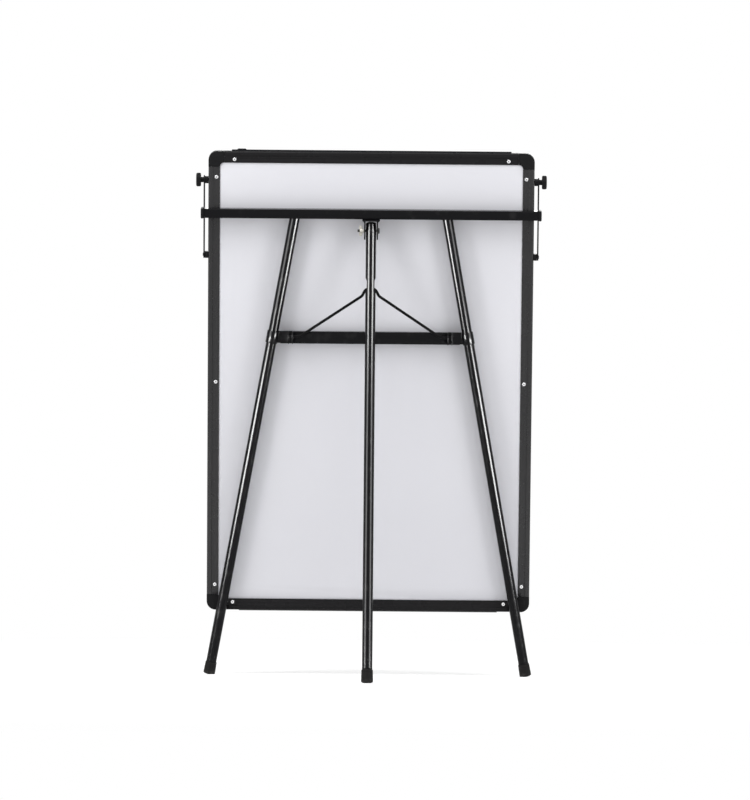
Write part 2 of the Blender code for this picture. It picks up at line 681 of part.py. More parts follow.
def build_brace():
    """Channel between the front legs, open towards the board."""
    front = CROSSBAR_SETBACK
    rear = front + BRACE_DEPTH
    half = BRACE_HEIGHT / 2
    outline = [(front, -half), (rear, -half), (rear, half), (front, half), (front, half - BRACE_WALL),
               (rear - BRACE_WALL, half - BRACE_WALL), (rear - BRACE_WALL, -half + BRACE_WALL),
               (front, -half + BRACE_WALL)]
    clip_radius = LEG_RADIUS + GAP + CLIP_WALL
    axis_at_top = FOOT_HALF_SPREAD - (BRACE_RISE + BRACE_HEIGHT) * math.tan(SPLAY)
    end = axis_at_top - clip_radius / math.cos(SPLAY)
    mesh = outline_mesh("brace_bar", [outline], 2 * end)
    add_part("brace_bar", mesh, BLACK_STEEL, STAND, (0, 0, BRACE_RISE), ALONG_X)


def build_brace_clips():
    """A sleeve round each front leg with a plate behind the brace and two ears for the stay."""
    centre = BRACE_RISE + CLIP_RISE
    leg_at_clip = FOOT_HALF_SPREAD - centre * math.tan(SPLAY)
    plate = CLIP_PLATE_FRONT
    back = plate + CLIP_PLATE
    tip = back + CLIP_EAR_HEIGHT
    ear = CLIP_PLATE
    outline = [(leg_at_clip, plate), (leg_at_clip, back), (CLIP_EAR_OUTER, back), (CLIP_EAR_OUTER, tip),
               (CLIP_EAR_OUTER - ear, tip), (CLIP_EAR_OUTER - ear, back), (CLIP_EAR_INNER, back),
               (CLIP_EAR_INNER, tip), (CLIP_EAR_INNER - ear, tip), (CLIP_EAR_INNER - ear, plate)]
    along = centre / math.cos(SPLAY)
    half = BRACE_HEIGHT / 2
    pin_hole = add_cutter("stay_pin_holes", cylinder_mesh(
        "stay_pin_holes", STAY_RADIUS + PIN_GAP, -STAY_END_HALF_SPREAD - OVERRUN,
        STAY_END_HALF_SPREAD + OVERRUN), STAND, (0, HINGE_SETBACK, STAY_PIN_HEIGHT), along_x(1))
    for name, side in SIDES:
        axis = add_empty(f"brace_clip_{name}_axis", STAND, (side * FOOT_HALF_SPREAD, LEG_AXIS, 0),
                         (0, -side * SPLAY, 0))
        sleeve = add_cutter(f"clip_sleeve_{name}", cylinder_mesh(
            "clip_sleeve", LEG_RADIUS + GAP + CLIP_WALL, along - half, along + half, FINE_STEPS), axis)
        bore = add_cutter(f"clip_bore_{name}", cylinder_mesh(
            "clip_bore", LEG_RADIUS + GAP, along - half - OVERRUN, along + half + OVERRUN,
            FINE_STEPS), axis)
        mesh = outline_mesh(f"brace_clip_{name}", [[(side * x, y) for x, y in outline]], BRACE_HEIGHT)
        clip = add_part(f"brace_clip_{name}", mesh, BLACK_STEEL, STAND, (0, 0, centre))
        add_boolean(clip, sleeve, "UNION")
        add_boolean(clip, bore)
        add_boolean(clip, pin_hole)


def build_hinge_fork():
    """Inverted channel under the crossbar, flared where it is welded on."""
    top = CROSSBAR_UNDERSIDE - GAP - HINGE_RISE
    inner = FORK_HALF_GAP
    outer = FORK_OUTER
    bottom = -FORK_EYE_DROP - FORK_EYE_RADIUS
    right = [(inner, top - FORK_WALL), (inner, bottom), (outer, bottom),
             (outer, top - FORK_FLARE_HEIGHT), (outer + FORK_FLARE, top - FORK_WALL / 2),
             (outer + FORK_FLARE, top)]
    outline = right + [(-x, y) for x, y in reversed(right)]
    eye = FORK_REAR - FORK_EYE_RADIUS
    side_view = [(FORK_FRONT, top + OVERRUN), (FORK_FRONT, top - FORK_SHOULDER)]
    side_view += arc((eye, -FORK_EYE_DROP), FORK_EYE_RADIUS, 180, 360, 8)
    side_view += [(FORK_REAR, top + OVERRUN)]
    middle = (FORK_FRONT + FORK_REAR) / 2
    mesh = outline_mesh("hinge_fork", [outline], FORK_REAR - FORK_FRONT + OVERRUN)
    fork = add_part("hinge_fork", mesh, BLACK_STEEL, STAND, (0, middle, HINGE_RISE), FACING_FRONT)
    width = outer + FORK_FLARE + OVERRUN
    shape = add_cutter("fork_side_view", outline_mesh("fork_side_view", [side_view], 2 * width), STAND,
                       (0, 0, HINGE_RISE), ALONG_X)
    add_boolean(fork, shape, "INTERSECT")
    hole = add_cutter("fork_holes", cylinder_mesh(
        "fork_holes", HINGE_BOLT_RADIUS + PIN_GAP, -width, width), STAND,
        (0, HINGE_SETBACK, HINGE_RISE), along_x(1))
    add_boolean(fork, hole)
    return hole


def build_hinge_bolt():
    """Carriage bolt from the left, through fork and leg, with its tip past the wing nut."""
    head = FORK_OUTER + GAP
    profile = pin_profile(HINGE_BOLT_RADIUS, head + HINGE_BOLT_REACH, HINGE_BOLT_HEAD_RADIUS,
                          HINGE_BOLT_HEAD_HEIGHT)
    add_turned("hinge_bolt", profile, YELLOW_ZINC, STAND, (-head, HINGE_SETBACK, HINGE_RISE),
               along_x(-1), MEDIUM_STEPS)


def build_wing_nut():
    """Turned hub with two flat wings, on the bolt's right end."""
    pivot = add_empty("wing_nut_axis", STAND, (FORK_OUTER + GAP, HINGE_SETBACK, HINGE_RISE), along_x(1))
    right = [(0, WING_SHOULDER), (WING_HUB_RADIUS, WING_SHOULDER)]
    right += arc((WING_SPREAD - WING_SHOULDER, WING_LENGTH - WING_SHOULDER), WING_SHOULDER, -45, 90)
    right += [(0, WING_HUB_LENGTH)]
    outline = right + [(-x, y) for x, y in reversed(right[1:-1])]
    mesh = outline_mesh("wing_nut", [outline], WING_THICKNESS)
    nut = add_part("wing_nut", mesh, YELLOW_ZINC, pivot, rotation=FACING_FRONT)
    hub = add_cutter("wing_nut_hub", cylinder_mesh(
        "wing_nut_hub", WING_HUB_RADIUS, 0, WING_HUB_LENGTH, MEDIUM_STEPS), pivot)
    bore = add_cutter("wing_nut_bore", cylinder_mesh(
        "wing_nut_bore", HINGE_BOLT_RADIUS + GAP, -OVERRUN, WING_HUB_LENGTH + OVERRUN), pivot)
    add_boolean(nut, hub, "UNION")
    add_boolean(nut, bore)


def build_rear_leg(hinge_hole):
    """Outer rear leg on its pivot, slotted for the stay, with all that slides in it."""
    axis = add_empty("rear_leg_axis", REAR_LEG, (0, 0, -REAR_LEG_LENGTH))
    top = REAR_LEG_LENGTH + REAR_LEG_TOP - REAR_PLUG_FLANGE - GAP
    tube = ring(LEG_RADIUS, BORE_RADIUS, top, OUTER_LEG_START)
    leg = add_turned("rear_outer_leg", tube, BLACK_STEEL, axis, closed=True)
    add_boolean(leg, hinge_hole)
    half = STAY_RADIUS + STAY_SLOT_SLACK
    lower = STAY_OPEN_PLACE + STAY_RADIUS + STAY_SLOT_LOWER_SLACK
    upper = STAY_FOLDED_PLACE - STAY_RADIUS - STAY_SLOT_UPPER_SLACK
    slot = add_cutter("stay_slot", box_mesh(
        "stay_slot", (-LEG_RADIUS - OVERRUN, -half, -lower), (LEG_RADIUS + OVERRUN, half, -upper)),
        REAR_LEG)
    add_boolean(leg, slot)
    grip = BORE_RADIUS - GAP
    flange = top + GAP
    plug = [(0, flange + REAR_PLUG_FLANGE), (BORE_RADIUS, flange + REAR_PLUG_FLANGE),
            (LEG_RADIUS, flange + REAR_PLUG_FLANGE / 2), (LEG_RADIUS, flange), (grip, flange),
            (grip, flange - REAR_PLUG_LENGTH), (0, flange - REAR_PLUG_LENGTH)]
    add_turned("rear_leg_plug", plug, BLACK_PLASTIC, axis)
    add_turned("rear_leg_bush", bush_profile(), BLACK_PLASTIC, axis, closed=True)
    build_leg_end("rear", axis)


def rounded_path(corners):
    """A path through corners, each with a bend radius, as points on lines and arcs."""
    points = [corners[0][0]]
    for (before, _), (corner, radius), (after, _) in zip(corners, corners[1:], corners[2:]):
        angle_in = math.atan2(before[1] - corner[1], before[0] - corner[0])
        angle_out = math.atan2(after[1] - corner[1], after[0] - corner[0])
        between = (angle_out - angle_in + math.pi) % (2 * math.pi) - math.pi
        half = between / 2
        reach = radius / abs(math.sin(half))
        middle = angle_in + half
        centre = (corner[0] + reach * math.cos(middle), corner[1] + reach * math.sin(middle))
        sweep = math.copysign(math.pi - abs(between), between)
        steps = max(3, round(abs(sweep) / math.radians(15)))
        start = middle + math.pi + sweep / 2
        for step in range(steps + 1):
            angle = start - sweep * step / steps
            points.append((centre[0] + radius * math.cos(angle),
                           centre[1] + radius * math.sin(angle)))
    points.append(corners[-1][0])
    return points


def add_wire(name, points, radius, material, parent, resolution=2):
    """A round wire through points."""
    curve = bpy.data.curves.new(name, "CURVE")
    curve.dimensions = "3D"
    curve.bevel_depth = radius
    curve.bevel_resolution = resolution
    curve.use_fill_caps = True
    spline = curve.splines.new("POLY")
    spline.points.add(len(points) - 1)
    for point, (x, y, z) in zip(spline.points, points):
        point.co = (x, y, z, 1)
    return add_part(name, curve, material, parent)


def build_stay():
    """One bent wire: pins in the clips' ears, two arms, and a round top inside the rear leg."""
    top_centre = STAY_REACH - math.sqrt(STAY_TOP_BEND ** 2 - (BORE_RADIUS + GAP) ** 2)
    slope = tangent_slope((STAY_KNEE_HALF_SPREAD, STAY_KNEE_RISE), (0, top_centre), STAY_TOP_BEND)
    peak = STAY_KNEE_RISE + STAY_KNEE_HALF_SPREAD * slope
    right = [((STAY_END_HALF_SPREAD, 0), 0), ((STAY_FOOT_HALF_SPREAD, 0), STAY_FOOT_BEND),
             ((STAY_KNEE_HALF_SPREAD, STAY_KNEE_RISE), STAY_KNEE_BEND)]
    corners = right + [((0, peak), STAY_TOP_BEND)]
    corners += [((-x, z), radius) for (x, z), radius in reversed(right)]
    path = [(x, 0, z) for x, z in rounded_path(corners)]
    add_wire("stay_wire", path, STAY_RADIUS, BLACK_STEEL, STAY)


def tangent_slope(point, centre, radius):
    """Slope of the line from a point that touches the far side of a circle."""
    across = point[0] - centre[0]
    rise = centre[1] - point[1]
    distance = math.hypot(across, rise)
    return math.tan(math.atan2(rise, across) + math.asin(radius / distance))


def rail_profile():
    """Cross-section of a rail: distance inwards from the board's edge, and depth."""
    edge = RAIL_EDGE
    mouth = SLOT_MOUTH / 2
    chamber = SLOT_WIDTH / 2
    outline = arc((edge, -edge), edge, 180, 90)
    outline += [(BEAD_WIDTH, 0), (BEAD_WIDTH + BEAD_SLOPE, BACK_FLANGE_FACE),
                (RAIL_WIDTH, BACK_FLANGE_FACE), (RAIL_WIDTH, GROOVE_BACK), (GROOVE_START, GROOVE_BACK),
                (GROOVE_START, GROOVE_FRONT), (RAIL_WIDTH, GROOVE_FRONT), (RAIL_WIDTH, BOARD_FRONT)]
    outline += arc((edge, BOARD_FRONT + edge), edge, 270, 180)
    outline += [(0, SLOT_AXIS - mouth), (SLOT_LIP, SLOT_AXIS - mouth), (SLOT_LIP, SLOT_AXIS - chamber),
                (SLOT_FLOOR, SLOT_AXIS - chamber), (SLOT_FLOOR, SLOT_AXIS + chamber),
                (SLOT_LIP, SLOT_AXIS + chamber), (SLOT_LIP, SLOT_AXIS + mouth), (0, SLOT_AXIS + mouth)]
    return outline


def rivet_places():
    """Place of each blind rivet in width and height, by name."""
    places = {}
    for name, side in SIDES:
        for level, bottom, up in (("bottom", 0, 1), ("top", BOARD_HEIGHT, -1)):
            places[f"rivet_{level}_{name}_level"] = (side * (HALF_WIDTH - RIVET_RUN),
                                                     bottom + up * RIVET_INSET)
            places[f"rivet_{level}_{name}_upright"] = (side * (HALF_WIDTH - RIVET_INSET),
                                                       bottom + up * RIVET_RUN)
        places[f"rivet_middle_{name}"] = (side * (HALF_WIDTH - RIVET_INSET), BOARD_HEIGHT / 2)
    return places


def build_board():
    """Core between two steel sheets, held by four slotted rails, corner pieces and rivets."""
    places = rivet_places()
    holes = add_cutter("rivet_holes", cylinder_mesh(
        "rivet_holes", RIVET_SHANK_RADIUS + GAP, -OVERRUN, RIVET_LENGTH + GAP,
        places=list(places.values())), BOARD, (0, BACK_FLANGE_FACE, 0), FACING_FRONT)
    profile = rail_profile()
    length = BOARD_HEIGHT - 2 * (CORNER_LENGTH + GAP)
    for name, side in SIDES:
        outline = [(side * (HALF_WIDTH - a), depth) for a, depth in profile]
        rail = add_part(f"frame_rail_{name}", outline_mesh(f"frame_rail_{name}", [outline], length),
                        BLACK_RAIL, BOARD, (0, 0, BOARD_HEIGHT / 2))
        add_boolean(rail, holes)
    length = BOARD_WIDTH - 2 * (CORNER_LENGTH + GAP)
    for name, bottom, up in (("bottom", 0, 1), ("top", BOARD_HEIGHT, -1)):
        outline = [(depth, up * a) for a, depth in profile]
        rail = add_part(f"frame_rail_{name}", outline_mesh(f"frame_rail_{name}", [outline], length),
                        BLACK_RAIL, BOARD, (0, 0, bottom), ALONG_X)
        add_boolean(rail, holes)
    panel_half = HALF_WIDTH - GROOVE_START - GAP
    low = GROOVE_START + GAP
    high = BOARD_HEIGHT - low
    back = GROOVE_BACK - GAP
    front = GROOVE_FRONT + GAP
    layers = (("back_sheet", back, back - SHEET_THICKNESS, BACK_STEEL),
              ("board_core", back - SHEET_THICKNESS - GAP, front + SHEET_THICKNESS + GAP, CORE_BOARD),
              ("writing_sheet", front + SHEET_THICKNESS, front, WHITE_STEEL))
    for name, rear_face, front_face, material in layers:
        mesh = box_mesh(name, (-panel_half, front_face, low), (panel_half, rear_face, high))
        layer = add_part(name, mesh, material, BOARD)
        if name != "writing_sheet":
            add_boolean(layer, holes)
    profile = pin_profile(RIVET_SHANK_RADIUS, RIVET_LENGTH, RIVET_HEAD_RADIUS, RIVET_HEAD_HEIGHT)
    mesh = profile_mesh("rivet", profile)
    for name, (x, z) in places.items():
        rivet = add_part(name, mesh, BRIGHT_STEEL, BOARD, (x, BACK_FLANGE_FACE + GAP, z), FACING_REAR)
        turn(rivet, COARSE_STEPS)


def build_corners():
    """Plastic corner pieces, hollow inside for the panel's corner."""
    pocket = add_cutter("panel_pocket", box_mesh(
        "panel_pocket", (-HALF_WIDTH + GROOVE_START, GROOVE_FRONT, GROOVE_START),
        (HALF_WIDTH - GROOVE_START, GROOVE_BACK, BOARD_HEIGHT - GROOVE_START)), BOARD)
    inside = RAIL_WIDTH + CORNER_FILLET
    outline = [(CORNER_LENGTH, 0)]
    outline += arc((CORNER_RADIUS, CORNER_RADIUS), CORNER_RADIUS, 270, 180, 6)
    outline += [(0, CORNER_LENGTH), (RAIL_WIDTH, CORNER_LENGTH)]
    outline += arc((inside, inside), CORNER_FILLET, 180, 270, 3)
    outline += [(CORNER_LENGTH, RAIL_WIDTH)]
    for level, bottom, up in (("bottom", 0, 1), ("top", BOARD_HEIGHT, -1)):
        for name, side in SIDES:
            shape = [(side * (HALF_WIDTH - across), bottom + up * rise) for across, rise in outline]
            full_name = f"corner_{level}_{name}"
            mesh = outline_mesh(full_name, [shape], RAIL_DEPTH)
            corner = add_part(full_name, mesh, BLACK_PLASTIC, BOARD, (0, SLOT_AXIS, 0), FACING_FRONT)
            add_boolean(corner, pocket)


def build_clamp():
    """Strip that hooks into the top rail's slot, with end ears for the jaw's long pin."""
    half = CLAMP_HALF_LENGTH
    top = BOARD_HEIGHT + GAP + CLAMP_TOP_PLATE
    outline = [(CLAMP_FRONT, CLAMP_BOTTOM), (CLAMP_BACK, CLAMP_BOTTOM), (CLAMP_BACK, BOARD_HEIGHT + GAP)]
    hook = tongue(-GAP)
    outline += [(SLOT_AXIS - y, BOARD_HEIGHT - a) for a, y in hook]
    outline += [(SLOT_AXIS + y, BOARD_HEIGHT - a) for a, y in reversed(hook[1:])]
    outline += [(SLOT_AXIS + TONGUE_NECK_HALF, top), (CLAMP_FRONT, top)]
    base = add_part("clamp_base", outline_mesh("clamp_base", [outline], 2 * half), BLACK_RAIL, BOARD,
                    rotation=ALONG_X)
    for name, side in SIDES:
        ends = sorted((side * HOOK_SLOT_START, side * HOOK_SLOT_END))
        slot = add_cutter(f"hook_slot_{name}", box_mesh(
            "hook_slot", (ends[0], CLAMP_FRONT - OVERRUN, HOOK_RISE - HOOK_SLOT_HEIGHT / 2),
            (ends[1], CLAMP_BACK + OVERRUN, HOOK_RISE + HOOK_SLOT_HEIGHT / 2)), BOARD)
        add_boolean(base, slot)
    eye = (CLAMP_PIN_AXIS, CLAMP_PIN_RISE)
    root = CLAMP_FRONT + CLAMP_PLATE / 4
    ear = [(root, eye[1] + CLAMP_EAR_RADIUS)] + arc(eye, CLAMP_EAR_RADIUS, 90, 270, 6)
    ear += [(root, eye[1] - CLAMP_EAR_RADIUS)]
    for name, side in SIDES:
        mesh = outline_mesh("clamp_ear", [ear, circle(eye, CLAMP_PIN_RADIUS + GAP)], CLAMP_PLATE)
        inset = GAP + CLAMP_PLATE / 2
        piece = add_cutter(f"clamp_ear_{name}", mesh, BOARD, (side * (half - inset), 0, 0), ALONG_X)
        add_boolean(base, piece, "UNION")
    build_clamp_pin(half)
    build_jaw(half - CLAMP_PLATE - 2 * GAP)
    build_spring()
    build_hooks()


def build_clamp_pin(half):
    shoulder = half + GAP
    tip = shoulder + CLAMP_PIN_HEAD_HEIGHT
    profile = [(0, tip), (CLAMP_PIN_HEAD_RADIUS, tip), (CLAMP_PIN_HEAD_RADIUS, shoulder),
               (CLAMP_PIN_RADIUS, shoulder), (CLAMP_PIN_RADIUS, -shoulder),
               (CLAMP_PIN_HEAD_RADIUS, -shoulder), (CLAMP_PIN_HEAD_RADIUS, -tip), (0, -tip)]
    add_turned("clamp_pin", profile, BRIGHT_STEEL, BOARD, (0, CLAMP_PIN_AXIS, CLAMP_PIN_RISE),
               along_x(1), COARSE_STEPS)


def build_jaw(half):
    """Extruded jaw whose knuckle turns on the pin, with one finger tab above it."""
    cover = -JAW_KNUCKLE_RADIUS
    face = cover - JAW_WALL
    lip_rear = CLAMP_FRONT - GAP - CLAMP_PIN_AXIS
    lip_front = lip_rear - JAW_WALL
    outline = [(cover, JAW_TOP_RISE), (face, JAW_TOP_RISE), (face - JAW_BELLY, 0),
               (face, -JAW_BELLY_DROP), (lip_front, -JAW_LIP_DROP), (lip_rear, -JAW_LIP_DROP),
               (lip_rear, -JAW_LIP_DROP + JAW_WALL), (cover + JAW_WALL / 2, -JAW_BELLY_DROP)]
    outline += arc((0, 0), JAW_KNUCKLE_RADIUS, -130, 130, 8)
    loops = [outline, circle((0, 0), CLAMP_PIN_RADIUS + GAP)]
    jaw = add_part("clamp_jaw", outline_mesh("clamp_jaw", loops, 2 * half), BLACK_PLASTIC, JAW,
                   rotation=ALONG_X)
    tab_left = TAB_OFFSET - TAB_WIDTH / 2
    tab_right = TAB_OFFSET + TAB_WIDTH / 2
    tab_bottom = JAW_TOP_RISE - JAW_WALL
    corner_rise = CLAMP_PIN_DROP + TAB_PROUD - TAB_CORNER
    shape = [(tab_left, tab_bottom), (tab_right, tab_bottom)]
    shape += arc((tab_right - TAB_CORNER, corner_rise), TAB_CORNER, 0, 90)
    shape += arc((tab_left + TAB_CORNER, corner_rise), TAB_CORNER, 90, 180)
    tab = add_cutter("finger_tab", outline_mesh("finger_tab", [shape], JAW_WALL), JAW,
                     (0, cover - JAW_WALL / 2, 0), FACING_FRONT)
    add_boolean(jaw, tab, "UNION")
    window = add_cutter("spring_window", box_mesh(
        "spring_window", (-SPRING_WINDOW / 2, cover + GAP, -JAW_KNUCKLE_RADIUS - GAP),
        (SPRING_WINDOW / 2, JAW_KNUCKLE_RADIUS + OVERRUN, JAW_KNUCKLE_RADIUS + GAP)), JAW)
    add_boolean(jaw, window)


def build_spring():
    """Torsion spring round the pin, with one arm against the strip and one against the jaw."""
    radius = CLAMP_PIN_RADIUS + GAP + SPRING_WIRE_RADIUS
    steps = 8
    count = SPRING_TURNS * steps + 1
    coil = []
    for step in range(count + 1):
        angle = 2 * math.pi * step / steps
        along = SPRING_PITCH * (step - count / 2) / steps
        coil.append((along, radius * math.cos(angle), radius * math.sin(angle)))
    first = coil[0]
    last = coil[-1]
    lower_end = (first[0], first[1], -SPRING_ARM)
    upper_end = (last[0], last[1] - SPRING_ARM * math.sin(angle), last[2] + SPRING_ARM * math.cos(angle))
    points = [lower_end] + coil + [upper_end]
    add_wire("clamp_spring", points, SPRING_WIRE_RADIUS, BRIGHT_STEEL, JAW, 1)


def build_hooks():
    """Pad hooks that slide in the strip's slots: flange behind, collar and peg in front."""
    neck = HOOK_SLOT_HEIGHT / 2 - PIN_GAP
    front = CLAMP_PLATE + GAP
    collar = front + HOOK_COLLAR
    peg = collar + HOOK_PEG_LENGTH
    tip = peg + HOOK_HEAD_LENGTH
    profile = [(0, tip), (HOOK_PEG_RADIUS, tip), (HOOK_HEAD_RADIUS, tip - HOOK_HEAD_LENGTH / 2),
               (HOOK_HEAD_RADIUS, peg), (HOOK_PEG_RADIUS, peg), (HOOK_PEG_RADIUS, collar),
               (HOOK_FLANGE_RADIUS, collar), (HOOK_FLANGE_RADIUS, front), (neck, front),
               (neck, -GAP), (HOOK_FLANGE_RADIUS, -GAP), (HOOK_FLANGE_RADIUS, -GAP - HOOK_FLANGE),
               (0, -GAP - HOOK_FLANGE)]
    for name, side in SIDES:
        add_turned(f"pad_hook_{name}", profile, BLACK_PLASTIC, BOARD,
                   (side * HOOK_OFFSET, CLAMP_BACK, HOOK_RISE), FACING_FRONT, MEDIUM_STEPS)


def build_pen_tray():
    """Tray that hangs by a T-tongue from the bottom rail's slot, with closed ends."""
    back = BOARD_FRONT - GAP
    front = back - TRAY_DEPTH
    floor = -GAP
    low = floor - TRAY_WALL
    lip = low + TRAY_LIP_HEIGHT
    outline = [(front, lip), (front, low), (SLOT_AXIS + TONGUE_NECK_HALF, low)]
    hook = tongue(floor)
    outline += [(SLOT_AXIS + y, a) for a, y in hook[1:]]
    outline += [(SLOT_AXIS - y, a) for a, y in reversed(hook)]
    outline += [(front + TRAY_WALL, floor), (front + TRAY_WALL, lip)]
    tray = add_part("pen_tray", outline_mesh("pen_tray", [outline], 2 * TRAY_HALF_LENGTH), BLACK_RAIL,
                    BOARD, rotation=ALONG_X)
    end = box_mesh("tray_end", (-TRAY_WALL, front + TRAY_WALL / 2, low + TRAY_WALL / 2),
                   (0, back, lip - GAP))
    for name, side in SIDES:
        shift = side * (TRAY_HALF_LENGTH - GAP) + max(0, -side) * TRAY_WALL
        add_boolean(tray, add_cutter(f"tray_end_{name}", end, BOARD, (shift, 0, 0)), "UNION")


def centre_on_footprint():
    """Moves the whole easel so that the middle of its outline in plan is at the origin."""
    graph = bpy.context.evaluated_depsgraph_get()
    low = math.inf
    high = -math.inf
    for item in PARTS.objects:
        if item.type == "EMPTY":
            continue
        solid = item.evaluated_get(graph)
        for vertex in solid.to_mesh().vertices:
            depth = (solid.matrix_world @ vertex.co).y
            low = min(low, depth)
            high = max(high, depth)
        solid.to_mesh_clear()
    ROOT.location.y = -(low + high) / 2


build_crossbar()
build_side_straps()
build_crossbar_caps()
build_knobs()
build_slot_nuts()
build_guide_shoes()
build_front_legs()
build_brace()
build_brace_clips()
build_rear_leg(build_hinge_fork())
build_hinge_bolt()
build_wing_nut()
build_stay()
build_board()
build_corners()
build_clamp()
build_pen_tray()
centre_on_footprint()
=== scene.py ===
import json
import math

import bpy
from mathutils import Matrix, Vector


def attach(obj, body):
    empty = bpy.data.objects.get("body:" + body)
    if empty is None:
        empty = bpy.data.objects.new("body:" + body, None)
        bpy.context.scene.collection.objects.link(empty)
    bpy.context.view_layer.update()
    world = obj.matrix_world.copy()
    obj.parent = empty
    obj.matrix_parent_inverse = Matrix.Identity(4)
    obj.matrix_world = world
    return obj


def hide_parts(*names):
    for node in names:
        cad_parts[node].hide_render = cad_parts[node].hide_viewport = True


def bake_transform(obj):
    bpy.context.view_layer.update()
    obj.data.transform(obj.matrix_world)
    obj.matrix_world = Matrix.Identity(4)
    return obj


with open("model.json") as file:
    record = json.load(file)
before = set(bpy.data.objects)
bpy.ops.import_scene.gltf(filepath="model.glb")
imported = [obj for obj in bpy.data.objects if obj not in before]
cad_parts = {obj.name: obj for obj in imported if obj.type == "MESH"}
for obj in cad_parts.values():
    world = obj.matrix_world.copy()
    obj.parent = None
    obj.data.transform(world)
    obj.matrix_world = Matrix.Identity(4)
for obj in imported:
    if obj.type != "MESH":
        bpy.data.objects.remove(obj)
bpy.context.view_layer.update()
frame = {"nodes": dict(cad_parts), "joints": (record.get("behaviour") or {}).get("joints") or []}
joints = {joint["name"]: joint for joint in frame["joints"]}


# Camera: behind the easel, low, and far off with a long lens, so that upright edges stay
# nearly parallel. It is rolled a little, as the photograph is.
picture_width_px = 750
pixels_per_metre = 467.2
camera_distance = 12.0
camera_height = 0.50
camera_roll = math.radians(0.5)
sensor_width_mm = 36
aim = Vector((-0.0116, 0, 0.5965))

camera_data = bpy.data.cameras.new("camera")
camera_data.sensor_fit = "HORIZONTAL"
camera_data.sensor_width = sensor_width_mm
camera_data.lens = pixels_per_metre * camera_distance / picture_width_px * sensor_width_mm
camera_data.clip_end = 100
camera = bpy.data.objects.new("camera", camera_data)
bpy.context.scene.collection.objects.link(camera)
camera.location = (aim.x, camera_distance, camera_height)
to_aim = aim - camera.location
camera.rotation_euler = (to_aim.to_track_quat("-Z", "Y").to_matrix()
                         @ Matrix.Rotation(camera_roll, 3, "Z")).to_euler()
bpy.context.scene.camera = camera
bpy.context.scene.view_settings.view_transform = "Standard"


# Studio floor: a pale matt sheet that keeps the easel's shadow close to it and fades to white
# farther off. The camera and the gloss see it glow a little, and it lights nothing by that.
class Value:
    """One socket of a node tree. Sums on it add the Math nodes that work them out."""

    def __init__(self, shading, socket):
        self.shading = shading
        self.socket = socket

    def output(self, name):
        """Another output of the same node."""
        return Value(self.shading, self.socket.node.outputs[name])

    def math(self, operation, other):
        return self.shading.node("ShaderNodeMath", {"operation": operation}, {0: self, 1: other})

    def __add__(self, other):
        return self.math("ADD", other)

    def __sub__(self, other):
        return self.math("SUBTRACT", other)

    def __rsub__(self, other):
        return self.shading.node("ShaderNodeMath", {"operation": "SUBTRACT"}, {0: other, 1: self})

    def __mul__(self, other):
        return self.math("MULTIPLY", other)

    __radd__ = __add__
    __rmul__ = __mul__

    def clamped(self, low, high):
        """This value's run from low to high, as 0 to 1."""
        return self.shading.node("ShaderNodeMapRange", {"clamp": True},
                                 {"Value": self, "From Min": low, "From Max": high})


class Shading:
    """The node tree of a finish or of the world."""

    def __init__(self, tree):
        self.tree = tree

    def node(self, kind, settings, inputs, output=0):
        """Adds one node, sets it, fills its sockets by number or name, and gives one output."""
        made = self.tree.nodes.new(kind)
        for name, value in settings.items():
            setattr(made, name, value)
        for place, value in inputs.items():
            self.fill(made.inputs[place], value)
        return Value(self, made.outputs[output])

    def fill(self, socket, value):
        if isinstance(value, Value):
            self.tree.links.new(value.socket, socket)
        else:
            socket.default_value = value

    def end(self, last_node, lit, seen):
        """Ends the tree with what is lit, and what the camera and mirrored rays see instead."""
        rays = self.node("ShaderNodeLightPath", {}, {}, "Is Camera Ray")
        looked_at = rays.math("MAXIMUM", rays.output("Is Glossy Ray"))
        looked_at = looked_at.math("MAXIMUM", rays.output("Is Transmission Ray"))
        self.fill(self.tree.nodes[last_node].inputs[0],
                  self.node("ShaderNodeMixShader", {}, {0: looked_at, 1: lit, 2: seen}))


class Finish(Shading):
    """One material: a Principled surface, patterned by the piece's own place."""

    def __init__(self, name, colour, roughness, metallic=0.0, shine=0.5):
        self.material = bpy.data.materials.new(name)
        self.material.use_nodes = True
        super().__init__(self.material.node_tree)
        self.surface = self.tree.nodes["Principled BSDF"]
        self.surface.inputs["Base Color"].default_value = (*colour, 1)
        self.surface.inputs["Roughness"].default_value = roughness
        self.surface.inputs["Metallic"].default_value = metallic
        self.surface.inputs["Specular IOR Level"].default_value = shine
        self.place = self.node("ShaderNodeTexCoord", {}, {}, "Object")

    def stretched(self, scales):
        """The place, scaled along each axis."""
        return self.node("ShaderNodeMapping", {}, {"Vector": self.place, "Scale": scales})

    def noise(self, scale, detail=3.0, place=None):
        return self.node("ShaderNodeTexNoise", {},
                         {"Vector": place or self.place, "Scale": scale, "Detail": detail})

    def cells(self, scale):
        return self.node("ShaderNodeTexVoronoi", {}, {"Vector": self.place, "Scale": scale})

    def height(self):
        """Height above the floor, in metres."""
        return self.node("ShaderNodeSeparateXYZ", {}, {0: self.place}, "Z")

    def mix(self, share, first, second):
        """A colour between two, by share."""
        return self.node("ShaderNodeMix", {"data_type": "RGBA"},
                         {0: share, 6: (*first, 1), 7: (*second, 1)}, output=2)

    def feed(self, name, value):
        self.fill(self.surface.inputs[name], value)

    def bump(self, height, strength, distance):
        """Relief on the surface: its depth is distance, in metres."""
        self.feed("Normal", self.node("ShaderNodeBump", {}, {
            "Strength": strength, "Distance": distance, "Height": height}))


floor_radius = 40.0
floor_drop = 0.0002
floor_grey = 0.80
floor_glow = 0.30
shadow_reach = 1.0
white_from = 2.4

